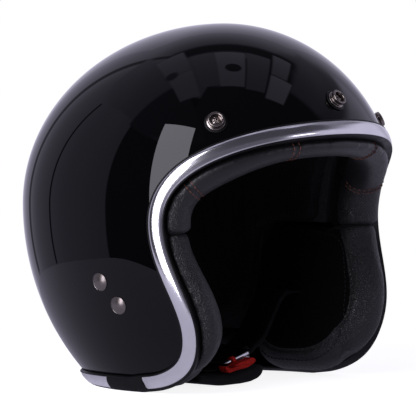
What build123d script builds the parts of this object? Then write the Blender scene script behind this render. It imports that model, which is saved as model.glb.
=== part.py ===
from build123d import *
import math
import os

os.makedirs("parts", exist_ok=True)

# Open-face helmet standing on its lower edge, millimetres.
# +Z is up, the wearer looks along -Y and the wearer's right hand is at -X.
# While it is built, Y is 0 at the widest place of the shell and Z is 0 at the ground.

# Shell: upper half two quarter ellipsoids, lower half drawn in towards the neck
shell_half_width = 120.0
shell_front_reach = 114.2
shell_rear_reach = 146.9
shell_crown_rise = 121.1
equator_height = 119.2
side_drop = 172.1
rear_drop = 147.1
cheek_front_reach = 139.8
cheek_blend_start = 5.0
cheek_blend_depth = 65.0
shell_wall = 3.6
loft_foot_depth = 12.0
# Spare shell beyond its edge, which a cut square to the surface then takes off
edge_spare = 1.5
edge_cut_reach = 14.4
edge_cut_depth = 10.8
# How far the handles of a quarter oval reach, as a share of the half axis
oval_bulge_share = 0.5523

# Heights of the lofted sections below the widest plane, as shares of its height
lower_section_shares = [0.96, 0.83, 0.7, 0.58, 0.45, 0.32, 0.2, 0.09]
# Angles above the widest plane of the lofted sections of the crown, degrees
crown_section_angles = [0, 12, 24, 36, 48, 60, 70, 78, 84, 88]

# Edge of the shell seen from the side: shares of the front reach and of the full height
brow_height = 166.5
bottom_edge_height = 1.8
opening_edge_shares = [
    (-0.8368, 0.6797), (-0.7513, 0.6635), (-0.6675, 0.6439), (-0.5858, 0.6208),
    (-0.5091, 0.5931), (-0.4441, 0.5597), (-0.3981, 0.5205), (-0.3755, 0.4773),
    (-0.3769, 0.4326), (-0.3958, 0.3881), (-0.4575, 0.3026), (-0.5078, 0.2213),
    (-0.5137, 0.1807), (-0.5011, 0.1402), (-0.4692, 0.1028), (-0.4183, 0.0718),
    (-0.3496, 0.0480), (-0.2684, 0.0308), (-0.1810, 0.0198), (-0.0921, 0.0141),
]

# Rubber edge channel and the bright strip on its outer leg
trim_clearance = 0.3
trim_outer_leg = 10.2
trim_inner_leg = 8.0
trim_outer_wall = 1.2
trim_inner_wall = 1.6
trim_crest_wall = 2.2
trim_corner = 1.1
strip_lip = 1.0
strip_width = 9.4
strip_edge = 0.4
strip_crown = 1.5
seat_gap = 0.1
trim_stations = 60
# Samples that the edge curve is read at, for the prism behind it and for the track of stations
rim_samples = 48
track_samples = 500

# Foam and padding
liner_gap = 0.3
foam_thickness = 24.0
foam_edge_setback = 26.0
foam_rear_height = 30.0
foam_side_height = 104.8
foam_pad_gap = 0.6
crown_pad_thickness = 7.0
crown_pad_rear_height = 34.0
crown_channel_width = 2.0
crown_channel_depth = 2.5
crown_channel_spacing = 44.0

# Brow band
band_depth = 21.0
band_setback = 19.0
band_overhang = 13.0
band_stations = 18
band_end_height = 106.0
# Section of the band: shares of its setback, of its overhang and of its depth
band_outline_shares = [
    (1, 0, 0.45), (0.7, 0, 0.06), (0, 0, 0.02), (0, 0.55, 0.22),
    (0, 1, 0.62), (0, 0.75, 0.92), (0.2, 0, 1), (0.8, 0, 0.92),
]

# Cheek pads
pad_back_inset = 6.0
pad_top = 104.5
pad_bottom = 4.5
pad_front = -53.0
pad_rear = 36.0
pad_face_top = 80.0
pad_face_bottom = 61.0
pad_reach = 62.0
pad_outline_shares = [
    (0.33, 1.0), (0.14, 0.93), (0.08, 0.78), (0.03, 0.62), (0.0, 0.44), (0.02, 0.25),
    (0.12, 0.1), (0.32, 0.01), (0.58, 0.0), (0.84, 0.03), (0.96, 0.15), (1.0, 0.45),
    (0.98, 0.8), (0.88, 0.98), (0.6, 1.02),
]
pad_depth_shares = [0.0, 0.05, 0.16, 0.36, 1.0]
pad_size_shares = [0.8, 0.91, 0.98, 1.0, 1.0]

# Neck roll
roll_thickness = 17.0
roll_height = 25.0
roll_front = 42.0
roll_stations = 14
# Section of the roll: shares of its height, of the trim's crest and of its thickness
roll_outline_shares = [
    (1, 0, 0.5), (0.75, 0, 0.06), (0.3, 0, 0.02), (0, 0, 0.18),
    (0, 0.6, 0.55), (0.15, 0, 0.95), (0.65, 0, 1),
]

# Snap studs above the brow, each on a screw with a nut inside
centre_stud_height = 188.3
side_stud_height = 174.4
side_stud_back = -63.3
stud_washer_radius = 7.5
stud_washer_thickness = 0.6
stud_foot_radius = 6.0
stud_foot_height = 1.2
stud_neck_radius = 4.3
stud_neck_height = 2.1
stud_head_radius = 5.25
stud_head_height = 1.9
stud_rim_round = 0.6
stud_cup_radius = 3.7
stud_cup_floor = 1.4
screw_shank_radius = 1.5
screw_head_radius = 2.9
screw_head_height = 1.5
screw_slot_width = 0.7
screw_slot_depth = 0.8
# The head's flat top and the foot of its dome, and the slot's length, as shares of radius and height
screw_top_share = 0.55
screw_foot_share = 0.5
screw_slot_share = 1.3
screw_hole_clearance = 0.2
nut_flange_radius = 6.5
nut_flange_thickness = 1.0
nut_barrel_radius = 2.8
nut_barrel_length = 5.0
nut_pocket_clearance = 0.5

# Strap rivets, two on each side, and the plate behind them
rivet_rear_back = 7.1
rivet_rear_height = 72.1
rivet_front_back = -5.8
rivet_front_height = 57.4
rivet_head_radius = 6.0
rivet_head_height = 2.3
rivet_shank_radius = 2.4
rivet_hole_clearance = 0.3
rivet_seat_gap = 0.05
rivet_tail_gap = 0.45
rivet_tail_radius = 4.2
rivet_tail_height = 1.2
plate_length = 34.0
plate_width = 15.0
plate_thickness = 1.2
plate_gap = 0.5

# Webbing and chin strap, centre line in the XZ plane
strap_width = 24.5
strap_thickness = 1.8
strap_gap = 0.3
hinge_half_span = 56.0
hinge_height = 58.0
slot_clearance = 1.2
slot_spare = 10.0
anchor_drop = 3.0
anchor_web_gap = 1.5
pocket_gap = 2.0
short_strap_thickness = 3.8
short_strap_lead = 3.5
short_strap_bend_run = 10.5
short_strap_bend_drop = 6.0
short_strap_loop_run = 20.0
short_strap_loop_rise = 10.5
short_strap_bends = [2.6, 6.0, 6.0]
long_strap_lead = 3.0
long_strap_corner_height = 8.0
long_strap_outer_reach = 44.0
long_strap_outer_height = 5.4
long_strap_inner_reach = 27.0
long_strap_inner_height = 5.6
long_strap_bends = [2.0, 5.0, 3.0, 6.0, 6.0]
tail_lift_run = 7.0
tail_bend_share = 1.4
tail_end_reach = 34.5
tail_end_height = 9.9
tail_bends = [2.0, 2.0, 6.0]

# Rings, lying in a frame that slopes down from the short strap
ring_pivot = (9.2, 20.6)
ring_slope = 14.2
ring_wire_radius = 1.5
ring_side = 15.1
ring_corner = 4.0
ring_bow = 2.0
long_ring_length = 27.5
short_ring_length = 16.0
ring_spacing = 3.3

# Chin pad below the rings
chin_pad_width = 40.0
chin_pad_reach = 50.0
chin_pad_rise = 12.5
# Outline from the front: shares of its reach across and of its rise
chin_outline_shares = [
    (-0.98, 0.464), (-0.84, 0.24), (-0.54, 0.072), (-0.28, 0), (0, 0.048), (0.24, 0.176), (0.37, 0.48),
    (0.392, 0.768), (0.33, 0.976), (0.18, 0.848), (-0.08, 0.688), (-0.32, 0.576), (-0.56, 0.616),
    (-0.84, 0.632), (-0.96, 0.592),
]

# Pull tab on the long ring
tab_wall = 0.8
tab_width = 6.5
tab_gap = 0.25
tab_sleeve_start = 17.8
tab_sleeve_length = 3.4
tab_reach = 25.0
tab_rise = 20.0
# Outline from the front: shares of its reach across and of its rise
tab_outline_shares = [
    (-1.028, 0.65), (-0.948, 0.48), (-0.74, 0.46), (-0.324, 0.515), (0.14, 0.61), (0.352, 0.765),
    (0.16, 0.91), (-0.128, 0.81), (-0.28, 0.795), (-0.46, 0.76), (-0.62, 0.67), (-0.824, 0.62),
]

# Woven tag over the strip, low on the wearer's right
tag_thickness = 0.6
tag_gap = 0.25
tag_top_height = 12.0
tag_top_rear = 22.5
tag_top_front = -6.0
tag_foot_depth = 2.0
tag_bottom_front = -12.0
tag_bottom_rear = 19.5
tag_margin = 6.0
tag_stations = 8

# One overrun for every cut
overrun = 40.0

shell_height = equator_height + shell_crown_rise
shell_length = shell_front_reach + shell_rear_reach


def smooth(value):
    value = min(max(value, 0), 1)
    return value * value * (3 - 2 * value)


def reaches(height, inset):
    # half width, front reach and rear reach of the form at a height
    rise = shell_crown_rise - inset
    if height > equator_height:
        ring = math.sqrt(max(1 - ((height - equator_height) / rise) ** 2, 0))
        return (
            (shell_half_width - inset) * ring,
            (shell_front_reach - inset) * ring,
            (shell_rear_reach - inset) * ring,
        )
    drop = equator_height - height
    blend = smooth((drop - cheek_blend_start) / cheek_blend_depth)
    side = shell_half_width * math.sqrt(1 - (drop / side_drop) ** 2)
    rear = shell_rear_reach * math.sqrt(1 - (drop / rear_drop) ** 2)
    front = shell_front_reach + (cheek_front_reach - shell_front_reach) * blend
    return side - inset, front - inset, rear - inset


def quarter(first, second, height):
    # quarter of an oval section, from one half axis to the next
    middle = [
        (first[0] + second[0] * oval_bulge_share, first[1] + second[1] * oval_bulge_share),
        (second[0] + first[0] * oval_bulge_share, second[1] + first[1] * oval_bulge_share),
    ]
    return Bezier(*[(x, y, height) for x, y in [first, *middle, second]])


def form(inset):
    # closed body of the helmet's form, a distance inside the outer surface
    rise = shell_crown_rise - inset
    heights = [-loft_foot_depth]
    heights += [equator_height * (1 - share) for share in lower_section_shares]
    heights += [equator_height + rise * math.sin(math.radians(angle)) for angle in crown_section_angles]
    wires = []
    for height in heights:
        side, front, rear = reaches(height, inset)
        axes = [(side, 0), (0, rear), (-side, 0), (0, -front), (side, 0)]
        wires.append(Wire([quarter(first, second, height) for first, second in zip(axes, axes[1:])]))
    return Solid.make_loft(wires + [Vertex(0, 0, equator_height + rise)])


def half_width(back, height):
    side, front, rear = reaches(height, 0)
    reach = front if back < 0 else rear
    return side * math.sqrt(max(1 - (back / reach) ** 2, 0))


def outward(point):
    # unit normal of the outer surface at a point on it
    side, front, rear = reaches(point.Z, 0)
    reach = front if point.Y < 0 else rear
    step = shell_wall / 1000

    def level(height):
        wide, near, far = reaches(height, 0)
        long = near if point.Y < 0 else far
        return (point.X / wide) ** 2 + (point.Y / long) ** 2

    slope = (level(point.Z + step) - level(point.Z - step)) / (2 * step)
    return Vector(2 * point.X / side ** 2, 2 * point.Y / reach ** 2, slope).normalized()


def surface_plane(point):
    # plane on the outer surface, its Z pointing outward
    normal = outward(point)
    across = Vector(0, 0, 1).cross(normal).normalized()
    return Plane(origin=point, x_dir=across, z_dir=normal)


# Edge of the shell in side view, from the brow to the flat bottom
brow_reach = reaches(brow_height, 0)[1]
outline_points = [(-brow_reach, brow_height)]
outline_points += [(shell_front_reach * y, shell_height * z) for y, z in opening_edge_shares]
outline_points.append((0, bottom_edge_height))
edge_curve = Spline(outline_points)
nape_reach = reaches(bottom_edge_height, 0)[2]


def side_region(setback, bottom, rear_bottom, side_bottom):
    # face in the YZ plane behind the edge, set back from it, as a prism across the helmet
    rim = []
    for index in range(rim_samples + 1):
        place = edge_curve.position_at(index / rim_samples)
        run = edge_curve.tangent_at(index / rim_samples)
        point = (place.X - run.Y * setback, place.Y + run.X * setback)
        if point[1] > side_bottom and (side_bottom > bottom or point[1] > bottom):
            rim.append(point)
    front_reach = rim[0][0] - overrun
    back = shell_rear_reach + overrun
    top = shell_height + overrun
    if side_bottom > bottom:
        tail = [(rim[-1][0], side_bottom), (pad_rear + foam_pad_gap, side_bottom)]
        tail += [(pad_rear + foam_pad_gap, rear_bottom), (back, rear_bottom)]
    else:
        tail = [(back, bottom)]
    slope = (rim[1][1] - rim[0][1]) / (rim[1][0] - rim[0][0])
    lead = (front_reach, rim[0][1] - slope * overrun)
    curve = Spline(rim)
    rest = Polyline([tuple(curve.position_at(1))[:2]] + tail + [(back, top), (front_reach, top), lead, rim[0]])
    face = make_face(Plane.YZ * Wire([*curve.edges(), *rest.edges()]))
    return extrude(face, amount=shell_half_width + overrun, both=True)


# Stations round the edge on the left half, from the brow centre to the nape centre
def edge_points():
    flat = []
    for index in range(track_samples):
        turn = 1 - math.cos(math.pi / 2 * index / track_samples)
        place = edge_curve.position_at(turn)
        flat.append((place.X, place.Y))
    for index in range(track_samples + 1):
        turn = math.sin(math.pi / 2 * index / track_samples)
        flat.append((nape_reach * turn, bottom_edge_height))
    points = []
    for index, (back, height) in enumerate(flat):
        wide = half_width(back, height)
        if index == 0 or index == len(flat) - 1:
            wide = 0
        points.append(Vector(wide, back, height))
    return points


edge_track = edge_points()
track_lengths = [0.0]
for first, second in zip(edge_track, edge_track[1:]):
    track_lengths.append(track_lengths[-1] + (second - first).length)
track_length = track_lengths[-1]


def track_point(distance):
    distance = min(max(distance, 0), track_length)
    low, high = 0, len(track_lengths) - 1
    while high - low > 1:
        middle = (low + high) // 2
        if track_lengths[middle] <= distance:
            low = middle
        else:
            high = middle
    span = track_lengths[high] - track_lengths[low]
    share = 0 if span == 0 else (distance - track_lengths[low]) / span
    return edge_track[low] + (edge_track[high] - edge_track[low]) * share


def track_plane(distance):
    # local X leads past the edge into the opening, local Y leads outward
    point = track_point(distance)
    step = shell_wall / 2
    run = track_point(distance + step) - track_point(distance - step)
    if distance < step:
        run = Vector(1, 0, 0)
    if distance > track_length - step:
        run = Vector(-1, 0, 0)
    normal = outward(point)
    run = (run - normal * run.dot(normal)).normalized()
    return Plane(origin=point, x_dir=run.cross(normal), z_dir=-run)


def track_where(test):
    # distance along the edge of the first station that passes a test
    for distance, point in zip(track_lengths, edge_track):
        if test(point):
            return distance
    return track_length


def along_edge(section, start, end, count):
    wires = []
    for index in range(count + 1):
        plane = track_plane(start + (end - start) * index / count)
        wires.append(plane.location * section)
    return Solid.make_loft(wires)


def both_halves(half):
    whole = half + mirror(half, about=Plane.YZ)
    return whole.solids()[0] if len(whole.solids()) == 1 else whole


def closed(points):
    return Wire(Polyline(points + [points[0]]).edges())


# Shell
outer_form = form(0)
inner_form = form(shell_wall)
cut_height = bottom_edge_height - edge_spare
shell_region = side_region(-edge_spare, cut_height, cut_height, cut_height)
outer_shell = (outer_form - inner_form) & shell_region

# Rubber channel round the edge
outer_face = trim_clearance + trim_outer_wall
inner_seat = -shell_wall - trim_clearance
inner_face = inner_seat - trim_inner_wall
crest = trim_clearance + trim_crest_wall
channel_section = closed([
    (-trim_outer_leg, trim_clearance),
    (-trim_outer_leg, outer_face),
    (crest - trim_corner, outer_face),
    (crest, outer_face - trim_corner),
    (crest, inner_face + trim_corner),
    (crest - trim_corner, inner_face),
    (-trim_inner_leg, inner_face),
    (-trim_inner_leg, inner_seat),
    (trim_clearance, inner_seat),
    (trim_clearance, trim_clearance),
])
ground_cut = Pos(0, 0, -overrun / 2) * Box(
    2 * (shell_half_width + overrun), 2 * (shell_length + overrun), overrun
)
edge_trim_rubber = both_halves(along_edge(channel_section, 0, track_length, trim_stations)) - ground_cut

# Space that the channel needs: the shell ends square to its own surface, the padding stays clear
edge_relief = both_halves(along_edge(closed([
    (0, shell_wall), (edge_cut_reach, shell_wall), (edge_cut_reach, -edge_cut_depth), (0, -edge_cut_depth),
]), 0, track_length, trim_stations))
outer_shell -= edge_relief
trim_space = both_halves(along_edge(closed([
    (-trim_inner_leg - trim_clearance, shell_wall),
    (crest + trim_clearance, shell_wall),
    (crest + trim_clearance, inner_face + trim_corner - trim_clearance),
    (crest - trim_corner + trim_clearance, inner_face - trim_clearance),
    (-trim_inner_leg - trim_clearance, inner_face - trim_clearance),
]), 0, track_length, trim_stations))

# Bright crowned strip on the outer leg
strip_foot = outer_face + seat_gap
strip_start = -trim_outer_leg + strip_lip
strip_end = strip_start + strip_width
strip_section = Wire([
    Line((strip_start, strip_foot), (strip_end, strip_foot)),
    Line((strip_end, strip_foot), (strip_end, strip_foot + strip_edge)),
    ThreePointArc(
        (strip_end, strip_foot + strip_edge),
        ((strip_start + strip_end) / 2, strip_foot + strip_crown),
        (strip_start, strip_foot + strip_edge),
    ),
    Line((strip_start, strip_foot + strip_edge), (strip_start, strip_foot)),
])
edge_trim_strip = both_halves(along_edge(strip_section, 0, track_length, trim_stations)) - ground_cut

# Foam liner under the shell
foam_outer = form(shell_wall + liner_gap)
foam_inner_inset = shell_wall + liner_gap + foam_thickness
foam_inner = form(foam_inner_inset)
foam_region = side_region(foam_edge_setback, bottom_edge_height, foam_rear_height, foam_side_height)
impact_liner = (foam_outer - foam_inner) & foam_region

# Crown comfort pad with two sewn channels
crown_outer_inset = foam_inner_inset + liner_gap
crown_inner_inset = crown_outer_inset + crown_pad_thickness
crown_region = side_region(
    foam_edge_setback, bottom_edge_height, crown_pad_rear_height, foam_side_height
)
crown_liner = (form(crown_outer_inset) - form(crown_inner_inset)) & crown_region
channel_bottom = form(crown_inner_inset - crown_channel_depth)
channel_slabs = [
    Pos(side * crown_channel_spacing / 2, 0, shell_height / 2)
    * Box(crown_channel_width, 2 * shell_length, shell_height)
    for side in (-1, 1)
]
for slab in channel_slabs:
    crown_liner -= slab & channel_bottom

# Brow band, a padded roll from temple to temple
band_top = inner_face - trim_clearance
band_section = Wire(Spline([
    (band_overhang * over - band_setback * back, band_top - band_depth * deep)
    for back, over, deep in band_outline_shares
], periodic=True).edges())
band_end = track_where(lambda point: point.Y > -shell_front_reach / 2 and point.Z < band_end_height)
brow_band = both_halves(along_edge(band_section, 0, band_end, band_stations)) - trim_space


# Cheek pads
def cheek_pad():
    lean = math.atan2(pad_face_top - pad_face_bottom, pad_top - pad_bottom)
    middle = Vector(
        (pad_face_top + pad_face_bottom) / 2, (pad_front + pad_rear) / 2, (pad_top + pad_bottom) / 2
    )
    frame = Plane(
        origin=middle, x_dir=Vector(0, 1, 0),
        z_dir=Vector(math.cos(lean), 0, -math.sin(lean)),
    )
    wires = []
    for depth, size in zip(pad_depth_shares, pad_size_shares):
        points = []
        for y, z in pad_outline_shares:
            points.append((
                (y - 0.5) * (pad_rear - pad_front) * size,
                (z - 0.5) * (pad_top - pad_bottom) * size,
            ))
        level = frame.offset(depth * pad_reach)
        wires.append(level.location * Wire(Spline(points, periodic=True).edges()))
    return Solid.make_loft(wires)


pad_limit = form(pad_back_inset)
plain_pad = (cheek_pad() & pad_limit) - trim_space

# Neck roll round the nape
roll_section = Wire(Spline([
    (crest * over - roll_height * back, band_top - roll_thickness * deep)
    for back, over, deep in roll_outline_shares
], periodic=True).edges())
roll_start = track_where(lambda point: point.Y > roll_front)
neck_roll = both_halves(along_edge(roll_section, roll_start, track_length, roll_stations))
roll_ceiling = Pos(0, 0, foam_rear_height - liner_gap + overrun) * Box(
    2 * shell_half_width, 2 * shell_length, 2 * overrun
)
neck_roll = neck_roll - roll_ceiling - trim_space

# Snap studs
stud_points = [
    Vector(0, -reaches(centre_stud_height, 0)[1], centre_stud_height),
    Vector(-half_width(side_stud_back, side_stud_height), side_stud_back, side_stud_height),
    Vector(half_width(side_stud_back, side_stud_height), side_stud_back, side_stud_height),
]
stud_planes = [surface_plane(point) for point in stud_points]
bore_radius = screw_shank_radius + screw_hole_clearance
stud_seat = stud_washer_thickness + seat_gap
washer = Pos(0, 0, seat_gap / 2) * extrude(
    Circle(stud_washer_radius) - Circle(bore_radius), stud_washer_thickness
)
neck_start = stud_seat + stud_foot_height
head_start = neck_start + stud_neck_height - stud_foot_height
head_end = head_start + stud_head_height
stud_face = make_face(Polyline([
    (bore_radius, stud_seat),
    (stud_foot_radius, stud_seat),
    (stud_foot_radius, neck_start - stud_rim_round),
    (stud_foot_radius - stud_rim_round, neck_start),
    (stud_neck_radius, neck_start),
    (stud_neck_radius, head_start),
    (stud_head_radius, head_start + stud_rim_round / 2),
    (stud_head_radius, head_end),
    (stud_head_radius - stud_rim_round, head_end + stud_rim_round),
    (stud_cup_radius + stud_rim_round / 2, head_end + stud_rim_round),
    (stud_cup_radius, head_end),
    (stud_cup_radius, stud_seat + stud_cup_floor),
    (bore_radius, stud_seat + stud_cup_floor),
    (bore_radius, stud_seat),
]))
stud = revolve(Plane.XZ * stud_face, Axis.Z)
screw_seat = stud_seat + stud_cup_floor + seat_gap
nut_seat = -shell_wall - liner_gap
nut_end = nut_seat - nut_flange_thickness - nut_barrel_length
screw_face = make_face(Polyline([
    (0, screw_seat + screw_head_height),
    (screw_head_radius * screw_top_share, screw_seat + screw_head_height),
    (screw_head_radius, screw_seat + screw_head_height * screw_foot_share),
    (screw_head_radius, screw_seat),
    (screw_shank_radius, screw_seat),
    (screw_shank_radius, nut_end),
    (0, nut_end),
    (0, screw_seat + screw_head_height),
]))
screw = revolve(Plane.XZ * screw_face, Axis.Z)
for turn in (0, 90):
    screw -= Pos(0, 0, screw_seat + screw_head_height) * Rot(0, 0, turn) * Box(
        screw_head_radius * screw_slot_share, screw_slot_width, 2 * screw_slot_depth
    )
nut = Pos(0, 0, nut_seat - nut_flange_thickness) * extrude(
    Circle(nut_flange_radius) - Circle(bore_radius), nut_flange_thickness
)
nut += Pos(0, 0, nut_end) * extrude(
    Circle(nut_barrel_radius) - Circle(bore_radius), nut_barrel_length
)
nut_pocket = Pos(0, 0, nut_end - nut_pocket_clearance) * Cylinder(
    nut_flange_radius + nut_pocket_clearance, -nut_end + nut_pocket_clearance + shell_wall,
    align=(Align.CENTER, Align.CENTER, Align.MIN),
)
shell_bore = Cylinder(bore_radius, overrun)
studs = [plane.location * stud for plane in stud_planes]
for plane in stud_planes:
    outer_shell -= plane.location * shell_bore
    impact_liner -= plane.location * nut_pocket
    brow_band -= plane.location * nut_pocket
snap_washers = Compound([plane.location * washer for plane in stud_planes])
snap_screws = Compound([plane.location * screw for plane in stud_planes])
snap_nuts = Compound([plane.location * nut for plane in stud_planes])

# Strap rivets and plates, left side first and then mirrored
rivet_dome_radius = (rivet_head_radius ** 2 + rivet_head_height ** 2) / (2 * rivet_head_height)
rivet_dome_turn = math.asin(rivet_head_radius / rivet_dome_radius) / 2
rivet_dome_drop = rivet_dome_radius * (1 - math.cos(rivet_dome_turn))
rivet_top = rivet_seat_gap + rivet_head_height
rivet_tail_start = -shell_wall - plate_gap - plate_thickness - rivet_tail_gap
rivet_tail_end = rivet_tail_start - rivet_tail_height
rivet_stem = Polyline([
    (0, rivet_top), (0, rivet_tail_end), (rivet_tail_radius, rivet_tail_end),
    (rivet_tail_radius, rivet_tail_start), (rivet_shank_radius, rivet_tail_start),
    (rivet_shank_radius, rivet_seat_gap), (rivet_head_radius, rivet_seat_gap),
])
rivet_dome = ThreePointArc(
    (rivet_head_radius, rivet_seat_gap),
    (rivet_dome_radius * math.sin(rivet_dome_turn), rivet_top - rivet_dome_drop),
    (0, rivet_top),
)
rivet_face = make_face(Wire([*rivet_stem.edges(), rivet_dome]))
rivet = revolve(Plane.XZ * rivet_face, Axis.Z)
rivet_places = [(rivet_rear_back, rivet_rear_height), (rivet_front_back, rivet_front_height)]
rivet_planes = [surface_plane(Vector(half_width(y, z), y, z)) for y, z in rivet_places]
left_rivets = [plane.location * rivet for plane in rivet_planes]
rivet_bore = Cylinder(rivet_shank_radius + rivet_hole_clearance, overrun / 2)
for plane in rivet_planes:
    bore = plane.location * rivet_bore
    outer_shell -= bore
    outer_shell -= mirror(bore, about=Plane.YZ)
plate_middle = (rivet_planes[0].origin + rivet_planes[1].origin) / 2
plate_normal = (rivet_planes[0].z_dir + rivet_planes[1].z_dir).normalized()
plate_run = rivet_planes[0].origin - rivet_planes[1].origin
plate_run = (plate_run - plate_normal * plate_run.dot(plate_normal)).normalized()
plate_plane = Plane(origin=plate_middle, x_dir=plate_run, z_dir=plate_normal)
plate_shape = SlotOverall(plate_length, plate_width)
plate_left = plate_plane.location * (
    Pos(0, 0, -shell_wall - plate_gap - plate_thickness) * extrude(plate_shape, plate_thickness)
)
for plane in rivet_planes:
    plate_left -= plane.location * rivet_bore


# Webbing is drawn in the XZ plane and given its width along Y
def band_from(points, radii, thickness, width):
    path = FilletPolyline(points, radius=radii)
    face = trace(path, line_width=thickness)
    return extrude(Plane.XZ * face, amount=width / 2, both=True)


anchor_face = half_width(0, hinge_height + anchor_drop) - shell_wall - plate_gap - plate_thickness
anchor_low = anchor_face - rivet_tail_gap - rivet_tail_height - strap_thickness / 2 - anchor_web_gap
anchor_high = anchor_low + (half_width(0, rivet_rear_height) - half_width(0, hinge_height + anchor_drop))
strap_end_left = band_from(
    [(anchor_high, rivet_rear_height), (anchor_low, hinge_height), (hinge_half_span + strap_gap, hinge_height)],
    anchor_drop, strap_thickness, strap_width,
)
slot = Pos((hinge_half_span + anchor_low) / 2, 0, hinge_height) * Box(
    anchor_low - hinge_half_span + slot_spare, strap_width + 2 * slot_clearance,
    strap_thickness + 2 * slot_clearance,
)
pocket = plate_plane.location * (
    Pos(0, 0, -shell_wall - pocket_gap - plate_thickness - rivet_tail_height - strap_thickness)
    * Cylinder(plate_length / 2 + slot_clearance, overrun, align=(Align.CENTER, Align.CENTER, Align.MIN))
)
cheek_pad_left = plain_pad - slot - pocket
cheek_pad_right = mirror(cheek_pad_left, about=Plane.YZ)


# Frame of the rings: a distance from the pivot towards the bow and a height above it
def ring_spot(distance, height):
    turn = math.radians(ring_slope)
    return (
        ring_pivot[0] - math.cos(turn) * distance - math.sin(turn) * height,
        ring_pivot[1] - math.sin(turn) * distance + math.cos(turn) * height,
    )


def ring(length, drop):
    turn = math.radians(ring_slope)
    place = ring_spot(0, -drop)
    frame = Plane(
        origin=(place[0], 0, place[1]), x_dir=(-math.cos(turn), 0, -math.sin(turn)),
        z_dir=(-math.sin(turn), 0, math.cos(turn)),
    )
    side_end = length - ring_bow
    outline = Wire([
        Line((0, -ring_side), (0, ring_side)),
        Line((0, ring_side), (side_end, ring_side)),
        ThreePointArc((side_end, ring_side), (length, 0), (side_end, -ring_side)),
        Line((side_end, -ring_side), (0, -ring_side)),
    ])
    outline = outline.fillet_2d(ring_corner, outline.vertices())
    start = outline.edges().sort_by(Axis.X)[0]
    profile = Plane(origin=start @ 0.5, z_dir=start % 0.5) * Circle(ring_wire_radius)
    return frame.location * sweep(profile, path=outline)


long_ring = ring(long_ring_length, 0)
short_ring = ring(short_ring_length, ring_spacing)

# Short strap: doubled webbing from the left pad to a loop round both straight bars
wrap_radius = ring_wire_radius + strap_gap
loop_radius = wrap_radius + strap_thickness
bar_low = ring_spot(0, -ring_spacing)
bar_high = ring_spot(0, 0)
loop_middle = ring_spot(0, -ring_spacing / 2)
short_path = [
    (hinge_half_span, hinge_height),
    (hinge_half_span - short_strap_lead, hinge_height),
    (hinge_half_span - short_strap_bend_run, hinge_height - short_strap_bend_drop),
    (loop_middle[0] + short_strap_loop_run, loop_middle[1] + short_strap_loop_rise),
    (loop_middle[0] + wrap_radius, loop_middle[1]),
]
short_strap = band_from(short_path, short_strap_bends, short_strap_thickness, strap_width)


def pill(first, second, radius):
    middle = ((first[0] + second[0]) / 2, (first[1] + second[1]) / 2)
    span = math.hypot(first[0] - second[0], first[1] - second[1])
    lean = math.degrees(math.atan2(second[1] - first[1], second[0] - first[0]))
    face = Pos(middle[0], middle[1]) * Rot(0, 0, lean) * SlotOverall(span + 2 * radius, 2 * radius)
    return extrude(Plane.XZ * face, amount=strap_width / 2, both=True)


short_strap = short_strap + pill(bar_low, bar_high, loop_radius)
short_strap = short_strap - pill(bar_low, bar_high, wrap_radius)

# Long strap: from the right pad across the ground, round the short ring and back
wrap_middle = wrap_radius + strap_thickness / 2
bow_edge = short_ring_length - ring_bow * (strap_width / 2 / ring_side) ** 2
under_long = -ring_wire_radius - strap_gap - strap_thickness / 2
tail_step = strap_thickness + strap_gap + strap_gap / 3
wrap_end = ring_spot(bow_edge - wrap_middle, -ring_spacing)
lower_turn = ring_spot(bow_edge, -ring_spacing - wrap_middle)
upper_turn = ring_spot(bow_edge, -ring_spacing + wrap_middle)
inflow = ring_spot(long_ring_length, under_long - tail_step)
over_short = ring_spot(short_ring_length + ring_wire_radius, -ring_spacing + wrap_middle)
tail_in = ring_spot(long_ring_length - ring_bow - ring_wire_radius * tail_bend_share, under_long)
tail_out = ring_spot(long_ring_length + tail_lift_run, under_long)
tail_end = (-tail_end_reach, tail_end_height)
long_path = Wire([
    *FilletPolyline([
        (-hinge_half_span, hinge_height),
        (-hinge_half_span + long_strap_lead, hinge_height),
        (-hinge_half_span + long_strap_lead, long_strap_corner_height),
        (-long_strap_outer_reach, long_strap_outer_height),
        (-long_strap_inner_reach, long_strap_inner_height),
        inflow,
        lower_turn,
    ], radius=long_strap_bends).edges(),
    ThreePointArc(lower_turn, wrap_end, upper_turn),
    *FilletPolyline([upper_turn, over_short, tail_in, tail_out, tail_end], radius=tail_bends).edges(),
])
long_strap = extrude(
    Plane.XZ * trace(long_path, line_width=strap_thickness), amount=strap_width / 2, both=True
)

# Chin pad under the rings, with a tunnel for the long strap
chin_outline = Spline([
    (chin_pad_reach * across, chin_pad_rise * up) for across, up in chin_outline_shares
], periodic=True)
chin_pad = extrude(Plane.XZ * make_face(chin_outline), amount=chin_pad_width / 2, both=True)
tunnel = extrude(
    Plane.XZ * trace(long_path, line_width=strap_thickness + 2 * strap_gap),
    amount=strap_width / 2 + strap_gap, both=True,
)
chin_pad = chin_pad - tunnel - ground_cut

# Pull tab: a ribbon sewn round the front side of the long ring and hanging beside it
turn = math.radians(ring_slope)
tab_spot = ring_spot(tab_sleeve_start, 0)
tab_frame = Plane(
    origin=(tab_spot[0], -ring_side, tab_spot[1]), x_dir=(0, 1, 0),
    z_dir=(-math.cos(turn), 0, -math.sin(turn)),
)
tab_sleeve = tab_frame.location * extrude(
    Circle(ring_wire_radius + tab_gap + tab_wall) - Circle(ring_wire_radius + tab_gap), tab_sleeve_length
)
tab_outline = Spline([
    (tab_reach * across, tab_rise * up) for across, up in tab_outline_shares
], periodic=True)
tab_inner = -ring_side - ring_wire_radius - tab_gap
pull_tab = Pos(0, tab_inner, 0) * extrude(Plane.XZ * make_face(tab_outline), amount=tab_width)
pull_tab = pull_tab + tab_sleeve

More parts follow.
